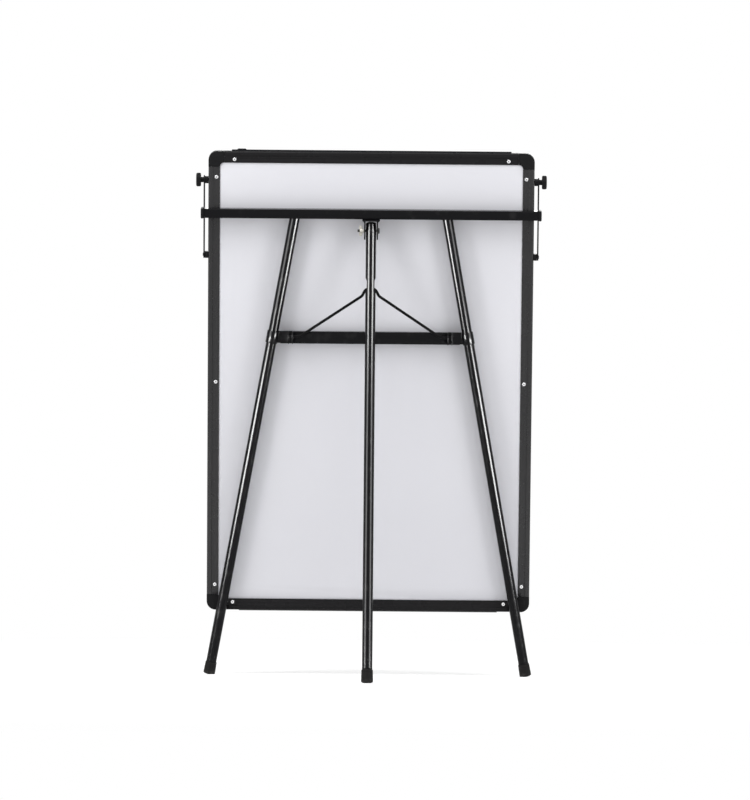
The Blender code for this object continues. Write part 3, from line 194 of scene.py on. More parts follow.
bpy.ops.object.select_all(action="DESELECT")
bpy.ops.mesh.primitive_circle_add(vertices=96, radius=floor_radius, fill_type="NGON",
                                  location=(0, 0, -floor_drop))
floor = bpy.context.active_object
floor.name = "studio_floor"
floor_finish = Finish("studio_floor", (floor_grey, floor_grey, floor_grey), 0.9, shine=0.0)
floor_paint = Value(floor_finish, floor_finish.surface.outputs[0])
glow = floor_finish.node("ShaderNodeEmission", {}, {"Strength": floor_glow})
near_floor = floor_finish.node("ShaderNodeAddShader", {}, {0: floor_paint, 1: glow})
far_floor = floor_finish.node("ShaderNodeEmission", {}, {"Strength": 1.0})
run = floor_finish.node("ShaderNodeVectorMath", {"operation": "LENGTH"}, {0: floor_finish.place},
                        "Value")
seen_floor = floor_finish.node("ShaderNodeMixShader", {}, {
    0: run.clamped(shadow_reach, white_from), 1: near_floor, 2: far_floor})
floor_finish.end("Material Output", floor_paint, seen_floor)
floor.data.materials.append(floor_finish.material)


# Studio light: an even pale world that is white where it is seen, and soft boxes close behind
# at each side, high behind, and in front.
world_light = 0.45
world = bpy.data.worlds.new("studio")
world.use_nodes = True
bpy.context.scene.world = world
world_shading = Shading(world.node_tree)
background = world.node_tree.nodes["Background"]
background.inputs["Color"].default_value = (1, 1, 1, 1)
background.inputs["Strength"].default_value = world_light
seen_world = world_shading.node("ShaderNodeBackground", {}, {"Color": (1, 1, 1, 1)})
world_shading.end("World Output", Value(world_shading, background.outputs[0]), seen_world)

lit_point = Vector((0, 0, 0.6))
for name, place, size, power in (
        ("box_behind_left", (1.15, 0.8, 1.35), (0.4, 2.4), 15),
        ("box_behind_right", (-1.15, 0.8, 1.35), (0.4, 2.4), 13),
        ("box_above", (0.25, 1.6, 4.4), (3.0, 3.0), 72),
        ("box_in_front", (-0.6, -3.4, 2.2), (2.2, 1.6), 50)):
    lamp_data = bpy.data.lights.new(name, "AREA")
    lamp_data.shape = "RECTANGLE"
    lamp_data.size, lamp_data.size_y = size
    lamp_data.energy = power
    lamp = bpy.data.objects.new(name, lamp_data)
    bpy.context.scene.collection.objects.link(lamp)
    lamp.location = place
    lamp.rotation_euler = (lit_point - Vector(place)).to_track_quat("-Z", "Y").to_euler()
    lamp.visible_camera = False


# Tall screens: one stands near each side, bright at its foot and its head. The round legs and
# the small pressings on them catch it, in their gloss: it draws the bright lines down the tubes.
screen_width = 0.94
screen_across = 1.38
screen_back = 1.08
screen_lit = bpy.data.collections.new("screen_lit")
for side, sign in (("left", 1), ("right", -1)):
    for part, low, high, brightness in (
            ("foot", 0.02, 0.50, 120), ("middle", 0.50, 1.45, 16), ("head", 1.45, 2.60, 80)):
        lamp_data = bpy.data.lights.new(f"screen_{side}_{part}", "AREA")
        lamp_data.shape = "RECTANGLE"
        lamp_data.size = screen_width
        lamp_data.size_y = high - low
        lamp_data.energy = brightness * math.pi * screen_width * (high - low)
        lamp = bpy.data.objects.new(f"screen_{side}_{part}", lamp_data)
        bpy.context.scene.collection.objects.link(lamp)
        lamp.location = (sign * screen_across, screen_back, (low + high) / 2)
        inwards = Vector((-sign * screen_across, -screen_back, 0))
        lamp.rotation_euler = inwards.to_track_quat("-Z", "Y").to_euler()
        lamp.visible_diffuse = False
        lamp.visible_camera = False
        lamp.light_linking.receiver_collection = screen_lit


# Front legs: round steel tubes, painted gloss black, cut level and welded under the crossbar.
# The paint has a little orange peel and dust. Low down it pales, partly by scuffs and partly by
# a painted reflection of the pale floor. The stand leans back, and most pieces are square to its
# leaning plane: X across, Y out of the board's back, Z up.
def pick(piece):
    """Selects one piece alone, ready for the next operator."""
    bpy.ops.object.select_all(action="DESELECT")
    piece.select_set(True)
    bpy.context.view_layer.objects.active = piece


def shape_all(piece):
    """Goes into edit mode with the whole piece selected."""
    pick(piece)
    bpy.ops.object.mode_set(mode="EDIT")
    bpy.ops.mesh.select_all(action="SELECT")


def leave_shaping():
    bpy.ops.object.mode_set(mode="OBJECT")


def smooth(piece, angle=30):
    """Shades a piece smooth, but for the edges sharper than an angle."""
    pick(piece)
    bpy.ops.object.shade_smooth_by_angle(angle=math.radians(angle))


def apply_modifier(piece, name, kind, **settings):
    """Adds a modifier, sets it and applies it."""
    pick(piece)
    modifier = piece.modifiers.new(name, kind)
    for key, value in settings.items():
        setattr(modifier, key, value)
    bpy.ops.object.modifier_apply(modifier=modifier.name)


def settle(piece, where=None):
    """Puts a piece made about the origin where it belongs, with its place in its mesh."""
    pick(piece)
    bpy.ops.object.transform_apply(location=True, rotation=True, scale=True)
    if where is not None:
        piece.matrix_world = where
        bpy.ops.object.transform_apply(location=True, rotation=True, scale=True)


def add_round(radius, low, high, steps=64, ends="NGON"):
    """A round bar or open tube along Z, between two heights."""
    bpy.ops.object.select_all(action="DESELECT")
    bpy.ops.mesh.primitive_cylinder_add(vertices=steps, radius=radius, depth=high - low,
                                        end_fill_type=ends, location=(0, 0, (low + high) / 2))
    made = bpy.context.active_object
    settle(made)
    return made


def dress(piece, name, finish):
    """Names a finished piece and gives it its finish."""
    piece.name = name
    piece.data.name = name
    piece.data.materials.clear()
    piece.data.materials.append(finish.material)


leg_radius = 0.011
leg_wall = 0.001
leg_start = 0.0286
foot_half_spread = 0.3435
crossbar_rise = 1.0057
crossbar_height = 0.020
crossbar_axis = 0.017
weld_gap = 0.0003
knob_setback = -0.009
knob_rise = 1.0742

paint = Finish("gloss_black_paint", (0.004, 0.004, 0.0048), 0.16, shine=0.1)
dust = paint.noise(38, 5).clamped(0.56, 0.78)
# Painted reflection: below 16 cm the paint pales in patches. This is partly scuffs, and partly
# stands in for the pale floor mirrored in the gloss.
low_scuff_and_floor_sheen = 1 - paint.height().clamped(0.03, 0.16)
dust_scuff_and_floor_sheen = dust * 0.35 + paint.noise(150, 4).clamped(0.6, 0.72) * low_scuff_and_floor_sheen * 0.5
# Base colour: the dust, plus the low scuffs and the painted floor reflection, as a paler grey.
paint.feed("Base Color", paint.mix(dust_scuff_and_floor_sheen, (0.004, 0.004, 0.0048), (0.034, 0.033, 0.033)))
paint.feed("Roughness", paint.noise(90, 3) * 0.08 + 0.12 + dust_scuff_and_floor_sheen * 0.3)
paint.bump(paint.noise(520, 2), 0.25, 0.00006)

plane_up = Vector(joints["board_slide"]["axis"]).normalized()
plane_out = Vector((0, plane_up.z, -plane_up.y))
knob_centre = Vector(joints["knob_left_turn"]["pos_m"])
plane_origin = knob_centre - knob_setback * plane_out - knob_rise * plane_up
stand_plane = Matrix((
    (1, 0, 0, 0),
    (0, plane_out.y, plane_up.y, plane_origin.y),
    (0, plane_out.z, plane_up.z, plane_origin.z),
    (0, 0, 0, 1)))
to_plane = stand_plane.inverted()

leg_frames = {}
for side, sign in (("left", -1), ("right", 1)):
    leg_up = -Vector(joints[f"front_{side}_leg_slide"]["axis"]).normalized()
    sole_centre = stand_plane @ Vector((sign * foot_half_spread, crossbar_axis, 0))
    across = leg_up.cross(Vector((0, 1, 0))).normalized() * -1
    outwards = leg_up.cross(across)
    axes = Matrix((across, outwards, leg_up)).transposed().to_4x4()
    leg_frames[side] = Matrix.Translation(sole_centre) @ axes

for side, where in leg_frames.items():
    leg_end = (crossbar_rise + 2 * crossbar_height) / (to_plane @ where).col[2].z
    leg = add_round(leg_radius, leg_start, leg_end, ends="NOTHING")
    apply_modifier(leg, "wall", "SOLIDIFY", thickness=leg_wall, offset=-1)
    settle(leg, to_plane @ where)
    shape_all(leg)
    bpy.ops.mesh.bisect(plane_co=(0, 0, crossbar_rise - crossbar_height / 2 - weld_gap),
                        plane_no=(0, 0, 1), clear_outer=True, use_fill=True)
    leave_shaping()
    settle(leg, stand_plane)
    smooth(leg)
    dress(leg, f"front_{side}_leg", paint)
    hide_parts(f"front_{side}_outer_leg")
    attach(leg, "stand")
    screen_lit.objects.link(leg)


# Rear leg: the same painted tube, hung on the hinge bolt. A slot with round ends goes through
# it from side to side, and the top of the stay slides in it.
def shape_edges(piece, chosen):
    """Goes into edit mode with the edges chosen by their two ends."""
    pick(piece)
    bpy.ops.object.mode_set(mode="EDIT")
    bpy.ops.mesh.select_mode(type="EDGE")
    bpy.ops.mesh.select_all(action="DESELECT")
    bpy.ops.object.mode_set(mode="OBJECT")
    points = piece.data.vertices
    for edge in piece.data.edges:
        first, second = edge.vertices
        edge.select = chosen(points[first].co, points[second].co)
    bpy.ops.object.mode_set(mode="EDIT")


def add_block(middle, sizes):
    """A square block, by its middle and its three sizes."""
    bpy.ops.object.select_all(action="DESELECT")
    bpy.ops.mesh.primitive_cube_add(size=1, location=middle)
    made = bpy.context.active_object
    made.scale = sizes
    settle(made)
    return made


def cut_away(piece, cutter):
    """Cuts one piece with another, which is then thrown away."""
    apply_modifier(piece, "cut", "BOOLEAN", object=cutter, operation="DIFFERENCE", solver="EXACT")
    bpy.data.objects.remove(cutter, do_unlink=True)


rear_leg_length = 0.986
rear_leg_end = 1.0007
rear_bolt_hole_radius = 0.0034
stay_slot_low = 0.8493
stay_slot_high = 0.8820
stay_slot_half_width = 0.0072
stay_slot_rounding = 0.95
cutter_length = 0.05

hinge = Vector(joints["rear_leg_fold"]["pos_m"])
rear_up = -Vector(joints["rear_leg_slide"]["axis"]).normalized()
rear_out = Vector((0, rear_up.z, -rear_up.y))
rear_axes = Matrix((Vector((1, 0, 0)), rear_out, rear_up)).transposed().to_4x4()
leg_frames["rear"] = Matrix.Translation(hinge - rear_leg_length * rear_up) @ rear_axes

rear_leg = add_round(leg_radius, leg_start, rear_leg_end, ends="NOTHING")
apply_modifier(rear_leg, "wall", "SOLIDIFY", thickness=leg_wall, offset=-1)
stay_slot = add_block((0, 0, (stay_slot_low + stay_slot_high) / 2),
                      (cutter_length, 2 * stay_slot_half_width, stay_slot_high - stay_slot_low))
shape_edges(stay_slot, lambda a, b: abs(a.x - b.x) > cutter_length / 2)
bpy.ops.mesh.bevel(offset=stay_slot_half_width * stay_slot_rounding, segments=8)
leave_shaping()
cut_away(rear_leg, stay_slot)
bolt_hole = add_round(rear_bolt_hole_radius, -cutter_length / 2, cutter_length / 2, steps=32)
bolt_hole.rotation_euler = (0, math.pi / 2, 0)
bolt_hole.location = (0, 0, rear_leg_length)
settle(bolt_hole)
cut_away(rear_leg, bolt_hole)
settle(rear_leg, leg_frames["rear"])
smooth(rear_leg)
dress(rear_leg, "rear_leg", paint)
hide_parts("rear_outer_leg")
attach(rear_leg, "rear_leg")
screen_lit.objects.link(rear_leg)


# Feet: rubber caps pushed over the inner legs' ends, a little barrelled, with a moulded ring
# and a sole that has worn flat where it meets the floor.
def shape_faces(piece, chosen):
    """Goes into edit mode with the faces chosen by their middle and normal."""
    pick(piece)
    bpy.ops.object.mode_set(mode="EDIT")
    bpy.ops.mesh.select_mode(type="FACE")
    bpy.ops.mesh.select_all(action="DESELECT")
    bpy.ops.object.mode_set(mode="OBJECT")
    for face in piece.data.polygons:
        face.select = chosen(face.center, face.normal)
    bpy.ops.object.mode_set(mode="EDIT")


def faces_up(middle, normal):
    return normal.z > 0.9


def faces_down(middle, normal):
    return normal.z < -0.9


def copy_of(pattern):
    """Another of the same piece, with its own mesh."""
    copy = bpy.data.objects.new(pattern.name, pattern.data.copy())
    bpy.context.scene.collection.objects.link(copy)
    return copy


foot_radius = 0.0128
foot_top_radius = 0.0122
foot_height = 0.0265
foot_top_edge = 0.0014
foot_sole_edge = 0.0022
foot_ring_low = 0.0195
foot_ring_high = foot_ring_low + 0.0016
foot_ring_proud = 0.0004
foot_socket_radius = 0.0088
foot_socket_floor = 0.006
sole_wear = 0.00002

rubber = Finish("black_rubber", (0.0125, 0.012, 0.012), 0.62, shine=0.1)
grime = (1 - rubber.height().clamped(0.0, 0.011)) * rubber.noise(240, 4).clamped(0.35, 0.7)
rubber.feed("Base Color", rubber.mix(grime * 0.6, (0.0125, 0.012, 0.012), (0.085, 0.080, 0.074)))
rubber.feed("Roughness", rubber.noise(300, 3) * 0.2 + 0.5)
rubber.bump(rubber.noise(1600, 2), 0.3, 0.00008)

foot_pattern = add_round(foot_radius, 0, foot_height, steps=72)
shape_faces(foot_pattern, faces_up)
foot_taper = foot_top_radius / foot_radius
bpy.ops.transform.resize(value=(foot_taper, foot_taper, 1), center_override=(0, 0, foot_height))
bpy.ops.mesh.bevel(offset=foot_top_edge, segments=4)
leave_shaping()
shape_faces(foot_pattern, faces_down)
bpy.ops.mesh.bevel(offset=foot_sole_edge, segments=6)
leave_shaping()
for ring_at in (foot_ring_low, foot_ring_high):
    shape_all(foot_pattern)
    bpy.ops.mesh.bisect(plane_co=(0, 0, ring_at), plane_no=(0, 0, 1))
    leave_shaping()
shape_faces(foot_pattern, lambda middle, normal: foot_ring_low < middle.z < foot_ring_high)
bpy.ops.mesh.extrude_region_shrink_fatten(TRANSFORM_OT_shrink_fatten={"value": -foot_ring_proud})
leave_shaping()
cut_away(foot_pattern, add_round(foot_socket_radius, foot_socket_floor, 2 * foot_height))

leg_names = {"left": "front_left", "right": "front_right", "rear": "rear"}
for side, where in leg_frames.items():
    foot = copy_of(foot_pattern)
    settle(foot, where)
    shape_all(foot)
    bpy.ops.mesh.bisect(plane_co=(0, 0, sole_wear), plane_no=(0, 0, 1), clear_inner=True,
                        use_fill=True)
    leave_shaping()
    smooth(foot, angle=32)
    dress(foot, f"{leg_names[side]}_foot", rubber)
    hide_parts(f"{leg_names[side]}_foot_cap")
    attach(foot, f"{leg_names[side]}_foot")
bpy.data.objects.remove(foot_pattern, do_unlink=True)


# Guide bushes: moulded plastic sleeves pressed into the outer legs' lower ends, of which only
# the flange shows between the tube and the foot.
def join_on(piece, addition):
    """Makes one piece of two that meet."""
    apply_modifier(piece, "join", "BOOLEAN", object=addition, operation="UNION", solver="EXACT")
    bpy.data.objects.remove(addition, do_unlink=True)


def soften(piece, width, angle=30, segments=3):
    """Rounds a piece's edges as a press or a mould leaves them, and shades it."""
    apply_modifier(piece, "soft_edges", "BEVEL", width=width, segments=segments,
                   limit_method="ANGLE", angle_limit=math.radians(angle), use_clamp_overlap=True)
    shape_all(piece)
    bpy.ops.mesh.remove_doubles(threshold=0.00001)
    leave_shaping()
    smooth(piece, max(angle, 30))


bush_flange = 0.0015
bush_length = 0.025
bush_start = foot_height + weld_gap
inner_leg_radius = 0.0085

moulded = Finish("black_moulded_plastic", (0.0080, 0.0080, 0.0085), 0.4, shine=0.09)
moulded.feed("Base Color", moulded.mix(moulded.noise(60, 3), (0.0065, 0.0065, 0.007),
                                       (0.010, 0.010, 0.0107)))
moulded.feed("Roughness", moulded.noise(140, 3) * 0.16 + 0.34)
moulded.bump(moulded.cells(1500) + moulded.noise(900, 2) * 0.5, 0.22, 0.00007)

bush_pattern = add_round(leg_radius, bush_start, bush_start + bush_flange)
join_on(bush_pattern, add_round(leg_radius - leg_wall - weld_gap, bush_start + weld_gap,
                                leg_start + bush_length))
cut_away(bush_pattern, add_round(inner_leg_radius + weld_gap, foot_height - bush_flange,
                                 leg_start + 2 * bush_length))
soften(bush_pattern, 0.0002)
for side, where in leg_frames.items():
    bush = copy_of(bush_pattern)
    settle(bush, where)
    dress(bush, f"{leg_names[side]}_bush", moulded)
    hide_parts(f"{leg_names[side]}_leg_bush")
    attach(bush, "rear_leg" if side == "rear" else "stand")
bpy.data.objects.remove(bush_pattern, do_unlink=True)


# Inner legs: bright zinc-plated tubes, swelled at the top where they grip. They show when a
# leg is drawn out, with the faint long scratches of sliding.
inner_leg_wall = 0.001
inner_start = 0.0063
inner_end = inner_start + 0.740
grip_start = inner_end - 0.018
grip_ramp = 0.002
grip_radius = 0.0097

zinc = Finish("bright_zinc", (0.60, 0.61, 0.62), 0.28, metallic=1.0)
streak = zinc.noise(60, 3, zinc.stretched((14, 14, 0.7))).clamped(0.35, 0.75)
zinc.feed("Base Color", zinc.mix(streak, (0.56, 0.57, 0.58), (0.67, 0.67, 0.68)))
zinc.feed("Roughness", streak * 0.14 + 0.2)
zinc.bump(zinc.noise(1200, 2), 0.12, 0.00004)

tube_pattern = add_round(inner_leg_radius, inner_start, inner_end, steps=48, ends="NOTHING")
for ring_at in (grip_start, grip_start - grip_ramp):
    shape_all(tube_pattern)
    bpy.ops.mesh.bisect(plane_co=(0, 0, ring_at), plane_no=(0, 0, 1))
    leave_shaping()
shape_faces(tube_pattern, lambda middle, normal: middle.z > grip_start)
swell = grip_radius / inner_leg_radius
bpy.ops.transform.resize(value=(swell, swell, 1), center_override=(0, 0, 0))
leave_shaping()
apply_modifier(tube_pattern, "wall", "SOLIDIFY", thickness=inner_leg_wall, offset=-1)
for side, where in leg_frames.items():
    tube = copy_of(tube_pattern)
    settle(tube, where)
    smooth(tube)
    dress(tube, f"{leg_names[side]}_inner_tube", zinc)
    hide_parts(f"{leg_names[side]}_inner_leg")
    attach(tube, f"{leg_names[side]}_foot")
bpy.data.objects.remove(tube_pattern, do_unlink=True)


# Plug in the rear leg's top: a moulded plastic cap with a rounded head, held by its stem,
# which is pressed into the tube.
plug_seat = 1.0010
plug_head = 0.002
plug_edge = 0.0013
plug_stem = 0.008
plug = add_round(leg_radius, plug_seat, plug_seat + plug_head)
shape_faces(plug, faces_up)
bpy.ops.mesh.bevel(offset=plug_edge, segments=5)
leave_shaping()
join_on(plug, add_round(leg_radius - leg_wall - weld_gap, plug_seat - plug_stem,
                        plug_seat + plug_head / 4))
settle(plug, leg_frames["rear"])
smooth(plug)
dress(plug, "rear_leg_top_plug", moulded)
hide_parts("rear_leg_plug")
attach(plug, "rear_leg")


# Crossbar: a rectangular steel tube with rounded corners, painted with the legs. The legs and
# the fork are welded under it, and a strap is held at each of its ends.
crossbar_depth = 0.026
crossbar_half = 0.3569
crossbar_corner = 0.002
crossbar_wall = 0.0015

crossbar = add_block((0, crossbar_axis, crossbar_rise),
                     (2 * crossbar_half, crossbar_depth, crossbar_height))
shape_edges(crossbar, lambda a, b: abs(a.x - b.x) > crossbar_half)
bpy.ops.mesh.bevel(offset=crossbar_corner, segments=6)
leave_shaping()
shape_faces(crossbar, lambda middle, normal: abs(normal.x) > 0.9)
bpy.ops.mesh.delete(type="ONLY_FACE")
leave_shaping()
apply_modifier(crossbar, "wall", "SOLIDIFY", thickness=crossbar_wall, offset=-1)
settle(crossbar, stand_plane)
smooth(crossbar)
dress(crossbar, "crossbar_tube", paint)
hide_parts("crossbar")
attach(crossbar, "stand")


# End caps of the crossbar: moulded plastic covers with a chamfered, slightly sunk face. Each
# is pushed through a strap, and its block wedges in the tube's open end and holds the strap.
strap_outer = 0.3602
cap_start = strap_outer + weld_gap
cap_thickness = 0.0047
cap_margin = 0.001
cap_chamfer = 0.0013
cap_rim = 0.0024
cap_sunk = 0.0005
cap_block_length = 0.020
cap_block_middle = cap_start - 0.005
cap_block_inset = crossbar_wall + weld_gap


def faces_outwards(middle, normal):
    return normal.x > 0.9


cap_pattern = add_block((cap_start + cap_thickness / 2, 0, 0),
                        (cap_thickness, crossbar_depth + 2 * cap_margin,
                         crossbar_height + 2 * cap_margin))
shape_faces(cap_pattern, faces_outwards)
bpy.ops.mesh.bevel(offset=cap_chamfer, segments=1)
leave_shaping()
shape_faces(cap_pattern, faces_outwards)
bpy.ops.mesh.inset(thickness=cap_rim, depth=-cap_sunk)
leave_shaping()
join_on(cap_pattern, add_block((cap_block_middle, 0, 0),
                               (cap_block_length, crossbar_depth - 2 * cap_block_inset,
                                crossbar_height - 2 * cap_block_inset)))
soften(cap_pattern, 0.00022, angle=25, segments=1)
for side, turn in (("left", math.pi), ("right", 0)):
    cap = copy_of(cap_pattern)
    settle(cap, stand_plane @ Matrix.Translation((0, crossbar_axis, crossbar_rise))
           @ Matrix.Rotation(turn, 4, "Z"))
    dress(cap, f"crossbar_end_cap_{side}", moulded)
    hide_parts(f"crossbar_cap_{side}")
    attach(cap, "stand")
bpy.data.objects.remove(cap_pattern, do_unlink=True)


# Side straps with their welded spacer bushes, the hinge fork, the brace and its clips: pressed
# from steel sheet and painted with the legs. The CAD solid of such a piece is right in shape,
# so it is taken as the blank, and its edges are rounded as the press leaves them.
def blank_of(cad_node):
    """A workable copy of a CAD solid's mesh, its loose triangles joined to whole faces."""
    blank = copy_of(frame["nodes"][cad_node])
    shape_all(blank)
    bpy.ops.mesh.remove_doubles(threshold=0.00002)
    bpy.ops.mesh.dissolve_limited(angle_limit=math.radians(0.6))
    leave_shaping()
    return blank


for cad_name, name, edge, catches_screens in (
        ("side_strap_left", "strap_left", 0.0004, False),
        ("side_strap_right", "strap_right", 0.0004, False),
        ("hinge_fork", "rear_hinge_fork", 0.0005, True),
        ("brace_bar", "brace_channel", 0.0006, False),
        ("brace_clip_left", "clip_left", 0.0003, True),
        ("brace_clip_right", "clip_right", 0.0003, True)):
    pressing = blank_of(cad_name)
    soften(pressing, edge, segments=2)
    dress(pressing, name, paint)
    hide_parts(cad_name)
    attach(pressing, "stand")
    if catches_screens:
        screen_lit.objects.link(pressing)


# Guide shoes: moulded plastic blocks, snapped into the lower ends of the straps. The tongue of
# each runs in the slot of a side rail, and guides the board.
for side in ("left", "right"):
    shoe = blank_of(f"guide_shoe_{side}")
    soften(shoe, 0.0003, segments=2)
    dress(shoe, f"shoe_{side}", moulded)
    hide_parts(f"guide_shoe_{side}")
    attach(shoe, "stand")


# T-nuts: small zinc-plated steel blocks inside the side rails. A knob's stud draws each one
# against the rail from within, which holds the board at its height.
for side in ("left", "right"):
    t_nut = blank_of(f"slot_nut_{side}")
    soften(t_nut, 0.0003, segments=2)
    dress(t_nut, f"t_nut_{side}", zinc)
    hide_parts(f"slot_nut_{side}")
    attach(t_nut, "stand")


# Clamp knobs: moulded heads with ribs all round and a dished face, on a smooth neck, with a
# steel stud that goes through the strap into the T-nut.
knob_radius = 0.0147
knob_length = 0.0103
knob_rim = 0.0030
knob_back_edge = 0.0024
knob_face_ring = 0.0022
knob_dish_slope = 0.0009
knob_dish_depth = 0.0007
knob_rib_count = 30
knob_rib_steps = 6
knob_rib_share = 0.52
knob_rib_depth = 0.0007
knob_neck_radius = 0.0058
knob_neck_length = 0.0055
knob_sunk = 0.001
stud_radius = 0.003
stud_length = 0.0165


def faces_flat_up(middle, normal):
    """Takes the flat top alone, and no part of its rounded rim."""
    return normal.z > 0.9999


def in_groove(middle, normal):
    """Takes the faces between two ribs, on the head's round side."""
    turn = (math.atan2(middle.y, middle.x) / (2 * math.pi) * knob_rib_count) % 1
    return math.hypot(middle.x, middle.y) > knob_radius * 0.97 and turn > knob_rib_share


knob_pattern = add_round(knob_radius, knob_neck_length, knob_neck_length + knob_length,
                         steps=knob_rib_count * knob_rib_steps)
shape_faces(knob_pattern, faces_up)
bpy.ops.mesh.bevel(offset=knob_rim, segments=6)
leave_shaping()
shape_faces(knob_pattern, faces_flat_up)
bpy.ops.mesh.inset(thickness=knob_face_ring)
bpy.ops.mesh.inset(thickness=knob_dish_slope, depth=-knob_dish_depth)
leave_shaping()
shape_faces(knob_pattern, faces_down)
bpy.ops.mesh.bevel(offset=knob_back_edge, segments=5)
leave_shaping()
shape_faces(knob_pattern, in_groove)
groove = 1 - knob_rib_depth / knob_radius
bpy.ops.transform.resize(value=(groove, groove, 1), center_override=(0, 0, 0))
leave_shaping()
join_on(knob_pattern, add_round(knob_neck_radius, 0, knob_neck_length + knob_sunk, steps=48))
join_on(knob_pattern, add_round(stud_radius, -stud_length, knob_sunk, steps=32))
smooth(knob_pattern, angle=28)
for side, sign in (("left", -1), ("right", 1)):
    knob = copy_of(knob_pattern)
    settle(knob, Matrix.Translation(Vector(joints[f"knob_{side}_turn"]["pos_m"]))
           @ Matrix.Rotation(sign * math.pi / 2, 4, "Y"))
    dress(knob, f"clamp_knob_{side}", moulded)
    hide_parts(f"knob_{side}")
    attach(knob, f"knob_{side}")
bpy.data.objects.remove(knob_pattern, do_unlink=True)


# Hinge bolt: blacked steel with a domed head. It goes through the fork and the rear leg, and
# its chamfered end stands clear of the nut.
bolt_radius = 0.003
bolt_reach = 0.029
bolt_sunk = 0.0005
bolt_head_radius = 0.0065
bolt_head_height = 0.0030
bolt_head_dome = 0.0027
bolt_end_chamfer = 0.0006
fork_outer = 0.0150

black_bolt = Finish("blacked_bolt", (0.020, 0.0195, 0.018), 0.42, shine=0.25)
oil_film = black_bolt.noise(420, 4)
black_bolt.feed("Base Color", black_bolt.mix(oil_film.clamped(0.35, 0.68),
                                             (0.014, 0.0135, 0.0125), (0.032, 0.031, 0.029)))
black_bolt.feed("Roughness", oil_film * 0.2 + 0.32)
black_bolt.bump(oil_film, 0.25, 0.00008)

hinge_bolt = add_round(bolt_radius, -bolt_reach - fork_outer - weld_gap, bolt_sunk, steps=40)
bolt_head = add_round(bolt_head_radius, 0, bolt_head_height, steps=48)
shape_faces(bolt_head, faces_up)
bpy.ops.mesh.bevel(offset=bolt_head_dome, segments=6)
leave_shaping()
join_on(hinge_bolt, bolt_head)
shape_faces(hinge_bolt, faces_down)
bpy.ops.mesh.bevel(offset=bolt_end_chamfer, segments=2)
leave_shaping()
smooth(hinge_bolt)
settle(hinge_bolt, Matrix.Translation(hinge + Vector((-fork_outer - weld_gap, 0, 0)))
       @ Matrix.Rotation(-math.pi / 2, 4, "Y"))
dress(hinge_bolt, "rear_hinge_bolt", black_bolt)
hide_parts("hinge_bolt")
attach(hinge_bolt, "stand")


# Wing nut: a rough little zinc casting, pale and faintly yellow, with a round hub and two
# wings swept up from it.
wing_hub_radius = 0.0048
wing_hub_length = 0.0085
wing_hub_taper = 0.84
wing_start = 0.003
wing_spread = 0.0115
wing_top = 0.0105
wing_thickness = 0.002
wing_rounding = 0.0031

cast_zinc = Finish("cast_zinc", (0.50, 0.485, 0.44), 0.38, metallic=1.0)
blush = cast_zinc.noise(420, 4)
cast_zinc.feed("Base Color", cast_zinc.mix(blush.clamped(0.35, 0.68), (0.43, 0.415, 0.37),
                                           (0.58, 0.565, 0.52)))
cast_zinc.feed("Roughness", blush * 0.25 + 0.25)
cast_zinc.bump(cast_zinc.noise(1400, 3), 0.35, 0.00012)

wing_nut = add_round(wing_hub_radius, 0, wing_hub_length, steps=40)
shape_faces(wing_nut, faces_up)
bpy.ops.transform.resize(value=(wing_hub_taper, wing_hub_taper, 1),
                         center_override=(0, 0, wing_hub_length))
leave_shaping()
wing = add_block(((wing_start + wing_spread) / 2, 0, (wing_start + wing_top) / 2),
                 (wing_spread - wing_start, wing_thickness, wing_top - wing_start))
shape_edges(wing, lambda a, b: abs(a.y - b.y) > wing_thickness / 2 and a.x > 2 * wing_start)
bpy.ops.mesh.bevel(offset=wing_rounding, segments=7)
leave_shaping()
other_wing = copy_of(wing)
settle(other_wing, Matrix.Rotation(math.pi, 4, "Z"))
join_on(wing_nut, other_wing)
join_on(wing_nut, wing)
cut_away(wing_nut, add_round(bolt_radius + weld_gap, -wing_hub_length, 2 * wing_hub_length,
                             steps=32))
soften(wing_nut, 0.0003, angle=40, segments=2)
settle(wing_nut, Matrix.Translation(Vector(joints["wing_nut_turn"]["pos_m"]))
       @ stand_plane.to_3x3().to_4x4() @ Matrix.Rotation(math.pi / 2, 4, "Y"))
dress(wing_nut, "rear_wing_nut", cast_zinc)
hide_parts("wing_nut")
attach(wing_nut, "wing_nut")


# Stay: one length of round wire, blacked rather than painted, with a pin end at each clip,
# two arms that lean together and a round top that runs in the rear leg. It is drawn out and
# bent corner by corner.
stay_wire_radius = 0.003
stay_end_half = 0.179
stay_foot_half = 0.152
stay_foot_bend = 0.025
stay_knee_half = 0.0181
stay_knee_rise = 0.1051
stay_knee_bend = 0.012
stay_peak_rise = 0.1465
stay_top_bend = 0.0145
stay_lean = math.radians(34.102)

blacked = Finish("blacked_wire", (0.006, 0.006, 0.0064), 0.45, shine=0.04)
drawn_marks = blacked.noise(700, 3)
blacked.feed("Base Color", blacked.mix(drawn_marks.clamped(0.4, 0.7), (0.005, 0.005, 0.0054),
                                       (0.011, 0.011, 0.0115)))
blacked.feed("Roughness", drawn_marks * 0.2 + 0.36)
blacked.bump(drawn_marks, 0.2, 0.00005)


